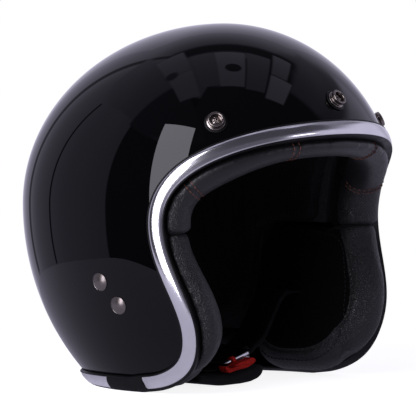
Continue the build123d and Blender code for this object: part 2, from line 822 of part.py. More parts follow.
# Woven tag over the bright strip, low on the wearer's right
tag_foot = strip_foot + strip_edge + tag_gap
tag_rise = strip_foot + strip_crown + tag_gap
tag_middle = (strip_start + strip_end) / 2
tag_section = Wire([
    ThreePointArc((strip_start, tag_foot), (tag_middle, tag_rise), (strip_end, tag_foot)),
    Line((strip_end, tag_foot), (strip_end, tag_foot + tag_thickness)),
    ThreePointArc(
        (strip_end, tag_foot + tag_thickness), (tag_middle, tag_rise + tag_thickness),
        (strip_start, tag_foot + tag_thickness),
    ),
    Line((strip_start, tag_foot + tag_thickness), (strip_start, tag_foot)),
])
tag_begin = track_where(lambda point: point.Z < shell_height / 4 and point.Y > tag_bottom_front - tag_margin)
tag_finish = track_where(lambda point: point.Z < shell_height / 4 and point.Y > tag_top_rear + tag_margin)
tag_band = along_edge(tag_section, tag_begin, tag_finish, tag_stations)
tag_corners = [
    (tag_top_rear, tag_top_height), (tag_top_front, tag_top_height),
    (tag_bottom_front, -tag_foot_depth), (tag_bottom_rear, -tag_foot_depth),
]
tag_window = extrude(
    Plane.YZ * make_face(Polyline(tag_corners + [tag_corners[0]])), amount=shell_half_width + overrun
)
trim_tag = mirror((tag_band & tag_window) - ground_cut, about=Plane.YZ)

parts = {
    "outer_shell": outer_shell,
    "impact_liner": impact_liner,
    "edge_trim_rubber": edge_trim_rubber,
    "edge_trim_strip": edge_trim_strip,
    "crown_liner": crown_liner,
    "brow_band": brow_band,
    "cheek_pad_left": cheek_pad_left,
    "cheek_pad_right": cheek_pad_right,
    "neck_roll": neck_roll,
    "snap_stud_centre": studs[0],
    "snap_stud_right": studs[1],
    "snap_stud_left": studs[2],
    "snap_washers": snap_washers,
    "snap_screws": snap_screws,
    "snap_nuts": snap_nuts,
    "rivets_left": Compound(left_rivets),
    "rivets_right": mirror(Compound(left_rivets), about=Plane.YZ),
    "anchor_plate_left": plate_left,
    "anchor_plate_right": mirror(plate_left, about=Plane.YZ),
    "strap_end_left": strap_end_left,
    "strap_end_right": mirror(strap_end_left, about=Plane.YZ),
    "short_strap": short_strap,
    "long_strap": long_strap,
    "chin_pad": chin_pad,
    "pull_tab": pull_tab,
    "trim_tag": trim_tag,
    "long_ring": long_ring,
    "short_ring": short_ring,
}

# The part's own origin is at the ground, midway between its front and its back
front_end = edge_trim_strip.bounding_box().min.Y
back_end = outer_shell.bounding_box().max.Y
to_middle = Pos(0, -(front_end + back_end) / 2, 0)
print("moved along Y by", -(front_end + back_end) / 2)

for name, shape in parts.items():
    shape = to_middle * shape
    box = shape.bounding_box()
    print(name, round(shape.volume), [round(v, 1) for v in (*box.min, *box.max)], len(shape.solids()))
    export_step(shape, "parts/" + name + ".step")
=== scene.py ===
import math
import bmesh
import bpy
import numpy as np
from mathutils import Matrix, Vector


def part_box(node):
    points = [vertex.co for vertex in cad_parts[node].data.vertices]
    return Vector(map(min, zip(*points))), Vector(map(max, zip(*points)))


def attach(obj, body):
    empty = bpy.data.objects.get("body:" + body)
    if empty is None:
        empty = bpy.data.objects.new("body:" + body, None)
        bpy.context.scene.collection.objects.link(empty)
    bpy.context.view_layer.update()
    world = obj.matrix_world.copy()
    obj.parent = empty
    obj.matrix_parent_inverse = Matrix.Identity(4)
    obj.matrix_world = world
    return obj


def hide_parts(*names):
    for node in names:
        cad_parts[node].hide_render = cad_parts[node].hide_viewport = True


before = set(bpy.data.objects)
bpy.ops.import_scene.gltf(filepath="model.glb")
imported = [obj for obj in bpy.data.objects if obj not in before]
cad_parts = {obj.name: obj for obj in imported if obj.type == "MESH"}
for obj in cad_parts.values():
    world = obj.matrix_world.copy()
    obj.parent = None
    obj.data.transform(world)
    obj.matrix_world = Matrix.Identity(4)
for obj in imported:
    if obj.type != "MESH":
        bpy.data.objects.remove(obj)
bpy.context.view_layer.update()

# Open-face helmet. Sizes are in millimetres in the helmet's own building frame, where Y is 0 at the
# shell's widest place; placed() turns points into metres in the shared frame.
MM = 0.001

# The shell's form, as in the CAD source
shell_half_width = 120.0
shell_front_reach = 114.2
shell_rear_reach = 146.9
shell_crown_rise = 121.1
equator_height = 119.2
side_drop = 172.1
rear_drop = 147.1
cheek_front_reach = 139.8
cheek_blend_start = 5.0
cheek_blend_depth = 65.0
shell_wall = 3.6
shell_height = equator_height + shell_crown_rise

# Edge of the shell seen from the side: shares of the front reach and of the full height
brow_height = 166.5
bottom_edge_height = 1.8
opening_edge_shares = [
    (-0.8368, 0.6797), (-0.7513, 0.6635), (-0.6675, 0.6439), (-0.5858, 0.6208),
    (-0.5091, 0.5931), (-0.4441, 0.5597), (-0.3981, 0.5205), (-0.3755, 0.4773),
    (-0.3769, 0.4326), (-0.3958, 0.3881), (-0.4575, 0.3026), (-0.5078, 0.2213),
    (-0.5137, 0.1807), (-0.5011, 0.1402), (-0.4692, 0.1028), (-0.4183, 0.0718),
    (-0.3496, 0.0480), (-0.2684, 0.0308), (-0.1810, 0.0198), (-0.0921, 0.0141),
]

# Camera: worked out from the photograph, seen from the wearer's right front
camera_azimuth = -49.72
camera_elevation = 1.97
camera_distance = 1885.76
camera_aim_side = -10.66
camera_aim_height = 116.7
camera_lens = 243.4
camera_sensor = 36.0

back_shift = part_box("outer_shell")[1].y / MM - shell_rear_reach


def placed(points):
    return (np.asarray(points, float) + np.array([0.0, back_shift, 0.0])) * MM


# Form
def smooth(value):
    value = np.clip(value, 0, 1)
    return value * value * (3 - 2 * value)


def reaches(height, inset=0.0):
    height = np.asarray(height, float)
    rise = shell_crown_rise - inset
    ring = np.sqrt(np.clip(1 - ((height - equator_height) / rise) ** 2, 1e-9, 1))
    drop = np.clip(equator_height - height, 0, None)
    blend = smooth((drop - cheek_blend_start) / cheek_blend_depth)
    side = shell_half_width * np.sqrt(np.clip(1 - (drop / side_drop) ** 2, 1e-9, 1))
    rear = shell_rear_reach * np.sqrt(np.clip(1 - (drop / rear_drop) ** 2, 1e-9, 1))
    front = shell_front_reach + (cheek_front_reach - shell_front_reach) * blend
    high = height > equator_height
    side = np.where(high, (shell_half_width - inset) * ring, side - inset)
    front = np.where(high, (shell_front_reach - inset) * ring, front - inset)
    rear = np.where(high, (shell_rear_reach - inset) * ring, rear - inset)
    return side, front, rear


def level(points, inset=0.0):
    # below 0 inside the form at that inset, above 0 outside
    side, front, rear = reaches(points[..., 2], inset)
    reach = np.where(points[..., 1] < 0, front, rear)
    return (points[..., 0] / side) ** 2 + (points[..., 1] / reach) ** 2 - 1


def half_width(back, height, inset=0.0):
    side, front, rear = reaches(height, inset)
    reach = np.where(np.asarray(back) < 0, front, rear)
    return side * np.sqrt(np.clip(1 - (back / reach) ** 2, 0, 1))


def unit(vectors):
    vectors = np.asarray(vectors, float)
    return vectors / np.maximum(np.linalg.norm(vectors, axis=-1, keepdims=True), 1e-12)


def outward(points, inset=0.0):
    points = np.asarray(points, float)
    step = 0.02
    slopes = [level(points + axis, inset) - level(points - axis, inset) for axis in np.eye(3) * step]
    return unit(np.stack(slopes, axis=-1))


def to_surface(points, inset=0.0, rounds=4):
    # moves points along the normal onto the form at an inset
    points = np.array(points, float)
    for _ in range(rounds):
        step = 0.05
        normal = outward(points, inset)
        value = level(points, inset)
        slope = (level(points + normal * step, inset) - value) / step
        points = points - normal * (value / slope)[..., None]
    return points


def kept_inside(points, inset):
    outside = level(points, inset) > 0
    points = np.array(points)
    if outside.any():
        points[outside] = to_surface(points[outside], inset)
    return points


# Curves
def spline(points, count):
    # natural cubic through the points, by chord length
    points = np.asarray(points, float)
    steps = np.linalg.norm(np.diff(points, axis=0), axis=1)
    places = np.concatenate([[0], np.cumsum(steps)])
    size = len(points)
    matrix = np.eye(size)
    target = np.zeros_like(points)
    for row in range(1, size - 1):
        matrix[row, row - 1:row + 2] = [steps[row - 1], 2 * (steps[row - 1] + steps[row]), steps[row]]
        target[row] = 6 * (
            (points[row + 1] - points[row]) / steps[row] - (points[row] - points[row - 1]) / steps[row - 1]
        )
    bend = np.linalg.solve(matrix, target)
    samples = np.linspace(0, places[-1], count)
    spans = np.clip(np.searchsorted(places, samples, side="right") - 1, 0, size - 2)
    width = steps[spans][:, None]
    low = (samples - places[spans])[:, None]
    high = width - low
    return (
        (bend[spans] * high ** 3 + bend[spans + 1] * low ** 3) / (6 * width)
        + (points[spans] / width - bend[spans] * width / 6) * high
        + (points[spans + 1] / width - bend[spans + 1] * width / 6) * low
    )


def closed_curve(points, count):
    # smooth closed curve through the points
    points = np.asarray(points, float)
    lap = len(points)
    looped = np.concatenate([points, points, points, points[:1]])
    dense = spline(looped, 3 * lap * 24 + 1)
    middle = dense[lap * 24:2 * lap * 24 + 1]
    return resampled(middle, count + 1)[:-1]


def resampled(points, count):
    points = np.asarray(points, float)
    places = np.concatenate([[0], np.cumsum(np.linalg.norm(np.diff(points, axis=0), axis=1))])
    samples = np.linspace(0, places[-1], count)
    return np.stack([np.interp(samples, places, points[:, axis]) for axis in range(points.shape[1])], axis=1)


def rounded(points, radii, arc=7):
    # polyline with its inner corners rounded
    points = [np.asarray(point, float) for point in points]
    result = [points[0]]
    for index in range(1, len(points) - 1):
        before, here, after = points[index - 1:index + 2]
        first = unit(before - here)
        second = unit(after - here)
        turn = math.acos(float(np.clip(first @ second, -1, 1)))
        if turn > math.pi - 0.02:
            result.append(here)
            continue
        reach = radii[index - 1] / math.tan(turn / 2)
        reach = min(reach, np.linalg.norm(before - here) * 0.49, np.linalg.norm(after - here) * 0.49)
        radius = reach * math.tan(turn / 2)
        centre = here + unit(first + second) * radius / math.sin(turn / 2)
        start = here + first * reach - centre
        finish = here + second * reach - centre
        for share in np.linspace(0, 1, arc):
            spot = start * (1 - share) + finish * share
            result.append(centre + unit(spot) * radius)
    result.append(points[-1])
    return np.array(result)


# Meshes
def face_outward(mesh):
    work = bmesh.new()
    work.from_mesh(mesh)
    bmesh.ops.recalc_face_normals(work, faces=work.faces)
    work.to_mesh(mesh)
    work.free()
    mesh.update()


def piece(name, points, faces, body, flat_angle=None):
    mesh = bpy.data.meshes.new(name)
    mesh.from_pydata([tuple(point) for point in placed(points)], [], faces)
    face_outward(mesh)
    thing = bpy.data.objects.new(name, mesh)
    bpy.context.scene.collection.objects.link(thing)
    mesh.shade_smooth()
    if flat_angle:
        mesh.set_sharp_from_angle(angle=math.radians(flat_angle))
    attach(thing, body)
    return thing


def grid_faces(rows, columns, around_rows=False, around_columns=True, start=0):
    faces = []
    for row in range(rows if around_rows else rows - 1):
        below = (row + 1) % rows
        for column in range(columns if around_columns else columns - 1):
            beside = (column + 1) % columns
            faces.append((
                start + row * columns + column, start + row * columns + beside,
                start + below * columns + beside, start + below * columns + column,
            ))
    return faces


def fan(centre, ring):
    count = len(ring)
    return [(centre, ring[index], ring[(index + 1) % count]) for index in range(count)]


def joined(parts):
    # one list of points and faces from several
    points = []
    faces = []
    start = 0
    for some_points, some_faces in parts:
        points.append(np.asarray(some_points, float))
        faces += [tuple(start + corner for corner in face) for face in some_faces]
        start += len(some_points)
    return np.concatenate(points), faces


def lathed(profile, origin, normal, segments=72):
    # profile points are (radius, height along the normal), first and last may lie on the axis
    normal = unit(normal)
    across = unit(np.cross([0, 0, 1.0], normal))
    other = np.cross(normal, across)
    turns = np.linspace(0, 2 * math.pi, segments, endpoint=False)
    points = []
    for radius, height in profile:
        ring = np.cos(turns)[:, None] * across + np.sin(turns)[:, None] * other
        points.append(origin + ring * max(radius, 1e-4) + normal * height)
    return np.concatenate(points), grid_faces(len(profile), segments)


def tube(path, radius, closed=True, segments=20):
    path = np.asarray(path, float)
    count = len(path)
    if closed:
        runs = unit(np.roll(path, -1, axis=0) - np.roll(path, 1, axis=0))
    else:
        runs = unit(np.gradient(path, axis=0))
    side = unit(np.cross(runs[0], [0.3, 0.2, 0.9]))
    turns = np.linspace(0, 2 * math.pi, segments, endpoint=False)
    radii = np.broadcast_to(radius, count)
    points = []
    for index in range(count):
        side = unit(side - runs[index] * (side @ runs[index]))
        other = np.cross(runs[index], side)
        ring = np.cos(turns)[:, None] * side + np.sin(turns)[:, None] * other
        points.append(path[index] + ring * radii[index])
    points = np.concatenate(points)
    if closed:
        return points, grid_faces(count, segments, around_rows=True)
    faces = grid_faces(count, segments)
    tail = len(points)
    points = np.concatenate([points, path[:1], path[-1:]])
    faces += fan(tail, list(range(segments)))
    faces += fan(tail + 1, [(count - 1) * segments + index for index in range(segments)][::-1])
    return points, faces


# Stations round the shell's edge
half_stations = 260


def edge_stations():
    outline = [(-float(reaches(brow_height)[1]), brow_height)]
    outline += [(shell_front_reach * y, shell_height * z) for y, z in opening_edge_shares]
    outline.append((0.0, bottom_edge_height))
    curve = spline(outline, 4000)
    turns = 1 - np.cos(np.linspace(0, math.pi / 2, 700))
    front = np.stack([np.interp(turns, np.linspace(0, 1, 4000), curve[:, axis]) for axis in (0, 1)], axis=1)
    nape = float(reaches(bottom_edge_height)[2])
    back = nape * np.sin(np.linspace(0, math.pi / 2, 700))
    flat = np.concatenate([front[:-1], np.stack([back, np.full(700, bottom_edge_height)], axis=1)])
    wide = half_width(flat[:, 0], flat[:, 1])
    wide[0] = wide[-1] = 0
    return resampled(np.stack([wide, flat[:, 0], flat[:, 1]], axis=1), half_stations + 1)


left_edge = edge_stations()
edge_length = float(np.linalg.norm(np.diff(left_edge, axis=0), axis=1).sum())
mirrored = np.array([-1.0, 1.0, 1.0])
edge_ring = np.concatenate([left_edge, left_edge[-2:0:-1] * mirrored])
ring_normals = outward(edge_ring)
ring_runs = np.roll(edge_ring, -1, axis=0) - np.roll(edge_ring, 1, axis=0)
ring_runs = unit(ring_runs - ring_normals * (ring_runs * ring_normals).sum(1, keepdims=True))
ring_beyond = np.cross(ring_runs, ring_normals)
ring_size = len(edge_ring)


def edge_frames(start, finish, count):
    # point, beyond and outward at even steps between two distances from the brow, negative to the right
    places = np.linspace(start, finish, count) / edge_length * half_stations
    low = np.floor(places).astype(int)
    share = (places - low)[:, None]
    low, high = low % ring_size, (low + 1) % ring_size
    blend = [grid[low] * (1 - share) + grid[high] * share for grid in (edge_ring, ring_beyond, ring_normals)]
    return blend[0], unit(blend[1]), unit(blend[2])


def edge_sweep(section, frames, hug=True):
    # section points are (past the edge, outward); they follow the shell's curve away from the edge
    points, beyond, normals = frames
    section = np.asarray(section, float)
    if section.ndim == 2:
        section = section[None]
    spots = points[:, None] + beyond[:, None] * section[..., :1]
    if hug:
        inside = np.minimum(section[..., :1], 0)
        base = points[:, None] + beyond[:, None] * inside
        drop = to_surface(base, rounds=2) - base
        spots = spots + drop
    return spots + normals[:, None] * section[..., 1:]


# Materials
def material(name, colour, roughness, metallic=0.0, **sockets):
    made = bpy.data.materials.new(name)
    made.use_nodes = True
    shader = made.node_tree.nodes["Principled BSDF"]
    shader.inputs["Base Color"].default_value = (*colour, 1)
    shader.inputs["Roughness"].default_value = roughness
    shader.inputs["Metallic"].default_value = metallic
    for socket, value in sockets.items():
        shader.inputs[socket.replace("_", " ")].default_value = value
    return made


class Nodes:
    # short way to add linked nodes to a material
    def __init__(self, made):
        self.tree = made.node_tree
        self.shader = self.tree.nodes["Principled BSDF"]

    def add(self, kind, inputs=(), **settings):
        node = self.tree.nodes.new(kind)
        for name, value in settings.items():
            setattr(node, name, value)
        for socket, value in dict(inputs).items():
            if isinstance(value, bpy.types.NodeSocket):
                self.tree.links.new(value, node.inputs[socket])
            else:
                node.inputs[socket].default_value = value
        return node

    def place(self, scale=(1, 1, 1), turn=(0, 0, 0), source="Object"):
        spot = self.add("ShaderNodeTexCoord").outputs[source]
        return self.add(
            "ShaderNodeMapping", {"Vector": spot, "Scale": scale, "Rotation": turn}
        ).outputs["Vector"]

    def noise(self, spot, scale, detail=3.0, roughness=0.5):
        return self.add(
            "ShaderNodeTexNoise",
            {"Vector": spot, "Scale": scale, "Detail": detail, "Roughness": roughness},
        ).outputs["Fac"]

    def remap(self, value, low, high, to_low, to_high):
        return self.add(
            "ShaderNodeMapRange", {0: value, 1: low, 2: high, 3: to_low, 4: to_high}
        ).outputs[0]

    def math(self, operation, first, second=0.0):
        return self.add("ShaderNodeMath", {0: first, 1: second}, operation=operation).outputs[0]

    def mix(self, share, first, second):
        node = self.add("ShaderNodeMix", {"Factor": share}, data_type="RGBA")
        for socket, value in zip((node.inputs[6], node.inputs[7]), (first, second)):
            if isinstance(value, bpy.types.NodeSocket):
                self.tree.links.new(value, socket)
            else:
                socket.default_value = (*value, 1)
        return node.outputs[2]

    def bump(self, height, strength, distance, normal=None):
        inputs = {"Height": height, "Strength": strength, "Distance": distance}
        if normal:
            inputs["Normal"] = normal
        return self.add("ShaderNodeBump", inputs).outputs["Normal"]

    def out(self, socket, value):
        self.tree.links.new(value, self.shader.inputs[socket])


def lacquer():
    # the colour coat stays matt black and the clear coat over it does the mirroring
    made = material(
        "shell_lacquer", (0.0020, 0.0020, 0.0025), 0.4, Coat_Weight=1.0, Coat_Roughness=0.012,
        Coat_IOR=1.33, Specular_IOR_Level=0.0,
    )
    nodes = Nodes(made)
    haze = nodes.noise(nodes.place(), 9.0, 4.0)
    ripple = nodes.noise(nodes.place(), 38.0, 1.0)
    nodes.out("Coat Normal", nodes.bump(ripple, 0.015, 0.0004))
    nodes.out("Base Color", nodes.mix(haze, (0.0010, 0.0010, 0.0013), (0.0019, 0.0019, 0.0024)))
    return made


def rubber():
    made = material("edge_rubber", (0.004, 0.004, 0.0045), 0.42, Specular_IOR_Level=0.2)
    nodes = Nodes(made)
    spot = nodes.place()
    bloom = nodes.noise(spot, 60.0, 4.0)
    nodes.out("Base Color", nodes.mix(bloom, (0.003, 0.003, 0.0035), (0.0065, 0.0065, 0.007)))
    nodes.out("Roughness", nodes.remap(bloom, 0.3, 0.7, 0.32, 0.48))
    nodes.out("Normal", nodes.bump(nodes.noise(spot, 900.0, 2.0), 0.25, 0.0002))
    return made


def polished(name, colour, low, high, grain):
    made = material(name, colour, (low + high) / 2, 1.0)
    nodes = Nodes(made)
    spot = nodes.place()
    cloud = nodes.noise(spot, 25.0, 5.0, 0.6)
    nodes.out("Roughness", nodes.remap(cloud, 0.3, 0.7, low, high))
    dull = tuple(channel * 0.86 for channel in colour)
    nodes.out("Base Color", nodes.mix(nodes.remap(cloud, 0.35, 0.75, 0.0, 1.0), colour, dull))
    scratch = nodes.noise(nodes.place(scale=(1.0, 1.0, 9.0)), grain, 3.0, 0.7)
    nodes.out("Normal", nodes.bump(scratch, 0.06, 0.0002))
    return made


def leather(name, colour, grain=720.0, strength=0.5, smooth_above=None):
    # pebbled grain; above a height it fades to the plain face of the brow
    made = material(name, colour, 0.45, Sheen_Weight=0.03, Sheen_Roughness=0.4, Specular_IOR_Level=0.5)
    nodes = Nodes(made)
    spot = nodes.place()
    warp = nodes.add("ShaderNodeTexNoise", {"Vector": spot, "Scale": 260.0, "Detail": 2.0}).outputs["Color"]
    bent = nodes.add(
        "ShaderNodeMix", {"Factor": 0.0016, 4: spot, 5: warp}, data_type="VECTOR"
    ).outputs[1]
    cells = nodes.add(
        "ShaderNodeTexVoronoi", {"Vector": bent, "Scale": grain, "Randomness": 1.0}, feature="DISTANCE_TO_EDGE"
    ).outputs["Distance"]
    creases = nodes.remap(cells, 0.0, 0.22, 0.0, 1.0)
    fine = nodes.noise(spot, grain * 2.2, 2.0)
    height = nodes.math("ADD", creases, nodes.math("MULTIPLY", fine, 0.35))
    wide = nodes.noise(spot, 45.0, 4.0)
    light = tuple(channel * 1.7 for channel in colour)
    nodes.out("Base Color", nodes.mix(nodes.math("MULTIPLY", creases, wide), colour, light))
    nodes.out("Roughness", nodes.remap(creases, 0.0, 1.0, 0.56, 0.35))
    if smooth_above:
        rise = nodes.add("ShaderNodeSeparateXYZ", {"Vector": spot}).outputs[2]
        depth = nodes.remap(rise, smooth_above, smooth_above + 0.006, strength, strength * 0.2)
    else:
        depth = strength
    nodes.out("Normal", nodes.bump(height, depth, 0.0006))
    return made


def cloth(name, colour, pitch, strength=0.6, turn=0.0, shine=0.75, gloss=0.2):
    # woven cloth as two crossed waves in object space, so that it needs no unwrapping
    made = material(name, colour, shine, Sheen_Weight=0.02, Sheen_Roughness=0.5, Specular_IOR_Level=gloss)
    nodes = Nodes(made)
    split = nodes.add("ShaderNodeSeparateXYZ", {"Vector": nodes.place(turn=(0.35, turn, 0.6))})
    rate = 2 * math.pi / (pitch * MM)
    warp = nodes.math("SINE", nodes.math("MULTIPLY", split.outputs[0], rate))
    weft = nodes.math("SINE", nodes.math("MULTIPLY", split.outputs[1], rate))
    rise = nodes.math("SINE", nodes.math("MULTIPLY", split.outputs[2], rate))
    weave = nodes.math("ADD", nodes.math("MULTIPLY", warp, weft), nodes.math("MULTIPLY", rise, warp))
    fuzz = nodes.noise(nodes.place(), 2500.0, 2.0)
    height = nodes.math("ADD", weave, fuzz)
    light = tuple(channel * 2.0 for channel in colour)
    nodes.out("Base Color", nodes.mix(nodes.remap(height, -0.8, 1.8, 0.0, 1.0), colour, light))
    nodes.out("Roughness", nodes.remap(fuzz, 0.3, 0.7, shine - 0.08, shine + 0.12))
    nodes.out("Normal", nodes.bump(height, strength, 0.0003))
    return made


def webbing(name, colour):
    # narrow woven band; the mesh carries lengths in millimetres as its UV
    made = material(name, colour, 0.75, Sheen_Weight=0.0, Specular_IOR_Level=0.15)
    nodes = Nodes(made)
    split = nodes.add("ShaderNodeSeparateXYZ", {"Vector": nodes.place(source="UV")})
    across = nodes.math("MULTIPLY", split.outputs[0], 2 * math.pi / 2.4)
    along = nodes.math("MULTIPLY", split.outputs[1], 2 * math.pi / 1.7)
    zigzag = nodes.math("ABSOLUTE", nodes.math("SINE", nodes.math("MULTIPLY", across, 0.5)))
    ribs = nodes.math("SINE", nodes.math("ADD", along, nodes.math("MULTIPLY", zigzag, 2.6)))
    threads = nodes.math("SINE", across)
    fuzz = nodes.noise(nodes.place(), 2800.0, 2.0)
    height = nodes.math("ADD", nodes.math("ADD", ribs, nodes.math("MULTIPLY", threads, 0.6)), fuzz)
    light = tuple(channel * 2.2 for channel in colour)
    nodes.out("Base Color", nodes.mix(nodes.remap(height, -1.0, 2.2, 0.0, 1.0), colour, light))
    nodes.out("Normal", nodes.bump(height, 0.7, 0.0003))
    return made


def foam():
    made = material("bead_foam", (0.02, 0.02, 0.022), 0.8)
    nodes = Nodes(made)
    spot = nodes.place()
    cells = nodes.add("ShaderNodeTexVoronoi", {"Vector": spot, "Scale": 320.0}).outputs["Distance"]
    nodes.out("Normal", nodes.bump(cells, 0.5, 0.0006))
    nodes.out("Base Color", nodes.mix(nodes.remap(cells, 0, 0.8, 0, 1), (0.03, 0.03, 0.032), (0.012, 0.012, 0.013)))
    return made


def mesh_cloth():
    # knitted spacer mesh of the crown: rows of small holes
    made = material("crown_mesh", (0.010, 0.010, 0.011), 0.8, Sheen_Weight=0.05, Specular_IOR_Level=0.25)
    nodes = Nodes(made)
    cells = nodes.add(
        "ShaderNodeTexVoronoi", {"Vector": nodes.place(), "Scale": 380.0, "Randomness": 0.15}
    ).outputs["Distance"]
    holes = nodes.remap(cells, 0.15, 0.45, 0.0, 1.0)
    nodes.out("Base Color", nodes.mix(holes, (0.0010, 0.0010, 0.0010), (0.0055, 0.0055, 0.006)))
    nodes.out("Normal", nodes.bump(holes, 0.8, 0.0005))
    return made


finish = {
    "shell": lacquer(),
    "rubber": rubber(),
    "strip": polished("bright_strip", (0.84, 0.84, 0.86), 0.14, 0.22, 240.0),
    "ring": polished("bright_nickel", (0.78, 0.78, 0.80), 0.08, 0.2, 500.0),
    "stud": polished("dark_nickel", (0.29, 0.255, 0.235), 0.14, 0.28, 700.0),
    "rivet": polished("gunmetal", (0.21, 0.185, 0.175), 0.26, 0.4, 700.0),
    "plate": polished("zinc_plate", (0.55, 0.56, 0.58), 0.3, 0.5, 500.0),
    "leather": leather("padding_leather", (0.0044, 0.0042, 0.0050)),
    "brow_leather": leather("brow_leather", (0.0052, 0.0050, 0.0059), smooth_above=0.127),
    "crown": mesh_cloth(),
    "lining": cloth("lining_cloth", (0.006, 0.006, 0.0065), 0.9),
    # near-black cloth for the pads' and brow band's inner faces: a real lining, but its darkness beyond the other
    # cloth is painted shade
    "pad_shade_lining": cloth("pad_shade_lining", (0.0013, 0.0013, 0.0014), 0.9, gloss=0.06),
    "webbing": webbing("strap_webbing", (0.0020, 0.0020, 0.0023)),
    "ribbon": webbing("tab_ribbon", (0.42, 0.016, 0.010)),
    "tag": cloth("tag_cloth", (0.0022, 0.0022, 0.0024), 0.5, 0.4),
    "foam": foam(),
    "thread": cloth("orange_thread", (0.15, 0.062, 0.044), 0.4, 0.5),
    "red_thread": cloth("red_thread", (0.36, 0.012, 0.012), 0.4, 0.5),
    "black_thread": cloth("black_thread", (0.010, 0.010, 0.011), 0.4, 0.5),
}


def finished(thing, name):
    thing.data.materials.clear()
    thing.data.materials.append(finish[name])
    return thing


# Shell
pole_back = 50.0
pole_rise = 101.0
form_centre = np.array([0.0, 10.0, equator_height])
shell_rows = 72


def along_rays(directions, inset):
    # where rays from the middle of the form leave it at an inset
    low = np.full(directions.shape[:-1], 20.0)
    high = np.full(directions.shape[:-1], 260.0)
    for _ in range(36):
        middle = (low + high) / 2
        outside = level(form_centre + directions * middle[..., None], inset) > 0
        beyond = (form_centre + directions * middle[..., None])[..., 2]
        outside |= beyond > equator_height + shell_crown_rise - inset
        high = np.where(outside, middle, high)
        low = np.where(outside, low, middle)
    return form_centre + directions * middle[..., None]


def spread(rim, rows, inset, ease=1.0):
    # rows of points from the crown pole out to a rim, all on the form at an inset
    pole = unit(np.array([0.0, pole_back, pole_rise]))
    ends = unit(rim - form_centre)
    angle = np.arccos(np.clip(ends @ pole, -1, 1))
    result = []
    for row in range(1, rows):
        share = (row / rows) ** ease
        ways = (
            np.sin((1 - share) * angle)[:, None] * pole + np.sin(share * angle)[:, None] * ends
        ) / np.sin(angle)[:, None]
        result.append(along_rays(ways, inset))
    result.append(rim)
    return along_rays(pole, inset), np.array(result)


def make_shell():
    top, outer = spread(edge_ring, shell_rows, 0.0)
    edge_inner = edge_ring - ring_normals * shell_wall
    low_top, inner = spread(edge_inner, shell_rows // 2, shell_wall)
    columns = ring_size
    outer_faces = grid_faces(shell_rows, columns)
    outer_points = np.concatenate([outer.reshape(-1, 3), [top]])
    outer_faces += [face[::-1] for face in fan(len(outer_points) - 1, list(range(columns)))[::-1]]
    inner_points = np.concatenate([inner.reshape(-1, 3), [low_top]])
    start = len(outer_points)
    inner_faces = [face[::-1] for face in grid_faces(shell_rows // 2, columns, start=start)]
    inner_faces += fan(start + len(inner_points) - 1, list(range(start, start + columns)))
    rim_outer = (shell_rows - 1) * columns
    rim_inner = start + (shell_rows // 2 - 1) * columns
    rim = []
    for column in range(columns):
        beside = (column + 1) % columns
        rim.append((rim_outer + column, rim_outer + beside, rim_inner + beside, rim_inner + column))
    points = np.concatenate([outer_points, inner_points])
    faces = outer_faces + rim + inner_faces
    shell = piece("shell_skin", points, faces, "helmet", 40)
    normals = np.concatenate([outward(outer_points), -outward(inner_points, shell_wall)])
    mesh = shell.data
    rim_first = len(outer_faces)
    rim_last = rim_first + len(rim)
    loop_normals = []
    for polygon in mesh.polygons:
        on_rim = rim_first <= polygon.index < rim_last
        for vertex in polygon.vertices:
            loop_normals.append(tuple(polygon.normal) if on_rim else tuple(normals[vertex]))
    mesh.normals_split_custom_set(loop_normals)
    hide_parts("outer_shell")
    return finished(shell, "shell")


make_shell()

# Edge trim: rubber channel with the bright strip lying on its outer leg
trim_gap = 0.3
leg_end = -10.2
inner_leg_end = -8.0
trim_face = 1.5
trim_crest = 2.5
trim_slim_crest = 1.3
trim_inner = -5.5
trim_seat = -3.9
trim_lip = 2.3
strip_start = -9.2
strip_end = 0.2
strip_foot = 1.6
strip_crown = 1.35


def on_ground(points):
    points = np.array(points)
    points[..., 2] = np.maximum(points[..., 2], 0.0)
    return points


def trim_section(crest, crest_round):
    return rounded([
        (leg_end, 0.9), (leg_end, trim_lip), (strip_start - 0.05, trim_lip), (strip_start - 0.05, trim_face),
        (strip_end + 0.05, trim_face), (strip_end + 0.05, trim_lip), (crest, trim_lip),
        (crest, trim_inner), (inner_leg_end, trim_inner), (inner_leg_end, trim_seat),
        (trim_gap, trim_seat), (trim_gap, trim_gap), (leg_end, trim_gap), (leg_end, 0.6),
    ], [0.45, 0.4, 0.15, 0.15, 0.4, crest_round, crest_round, 0.6, 0.3, 0.2, 0.2, 0.2], arc=5)


def make_trim():
    # the crest is drawn in round the face, where the leather swells over it
    frames = (edge_ring, ring_beyond, ring_normals)
    low = (1 - smooth((edge_ring[:, 2] - 14.0) / 22.0))[:, None, None]
    section = trim_section(trim_slim_crest, 0.5) * (1 - low) + trim_section(trim_crest, 1.4) * low
    points = on_ground(edge_sweep(section, frames))
    faces = grid_faces(ring_size, section.shape[1], around_rows=True)
    trim = piece("trim_channel", points.reshape(-1, 3), faces, "helmet", 50)
    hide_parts("edge_trim_rubber")
    finished(trim, "rubber")
    turns = np.linspace(-1, 1, 19)
    crown = [
        ((strip_start + strip_end) / 2 + (strip_end - strip_start) / 2 * turn, strip_foot + 0.35
         + (strip_crown - 0.35) * (1 - abs(turn) ** 3.6))
        for turn in turns
    ]
    section = [(strip_start, strip_foot)] + crown + [(strip_end, strip_foot)]
    points = on_ground(edge_sweep(section, frames))
    faces = grid_faces(ring_size, len(section), around_rows=True)
    strip = piece("bright_strip", points.reshape(-1, 3), faces, "helmet", 50)
    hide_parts("edge_trim_strip")
    finished(strip, "strip")


make_trim()

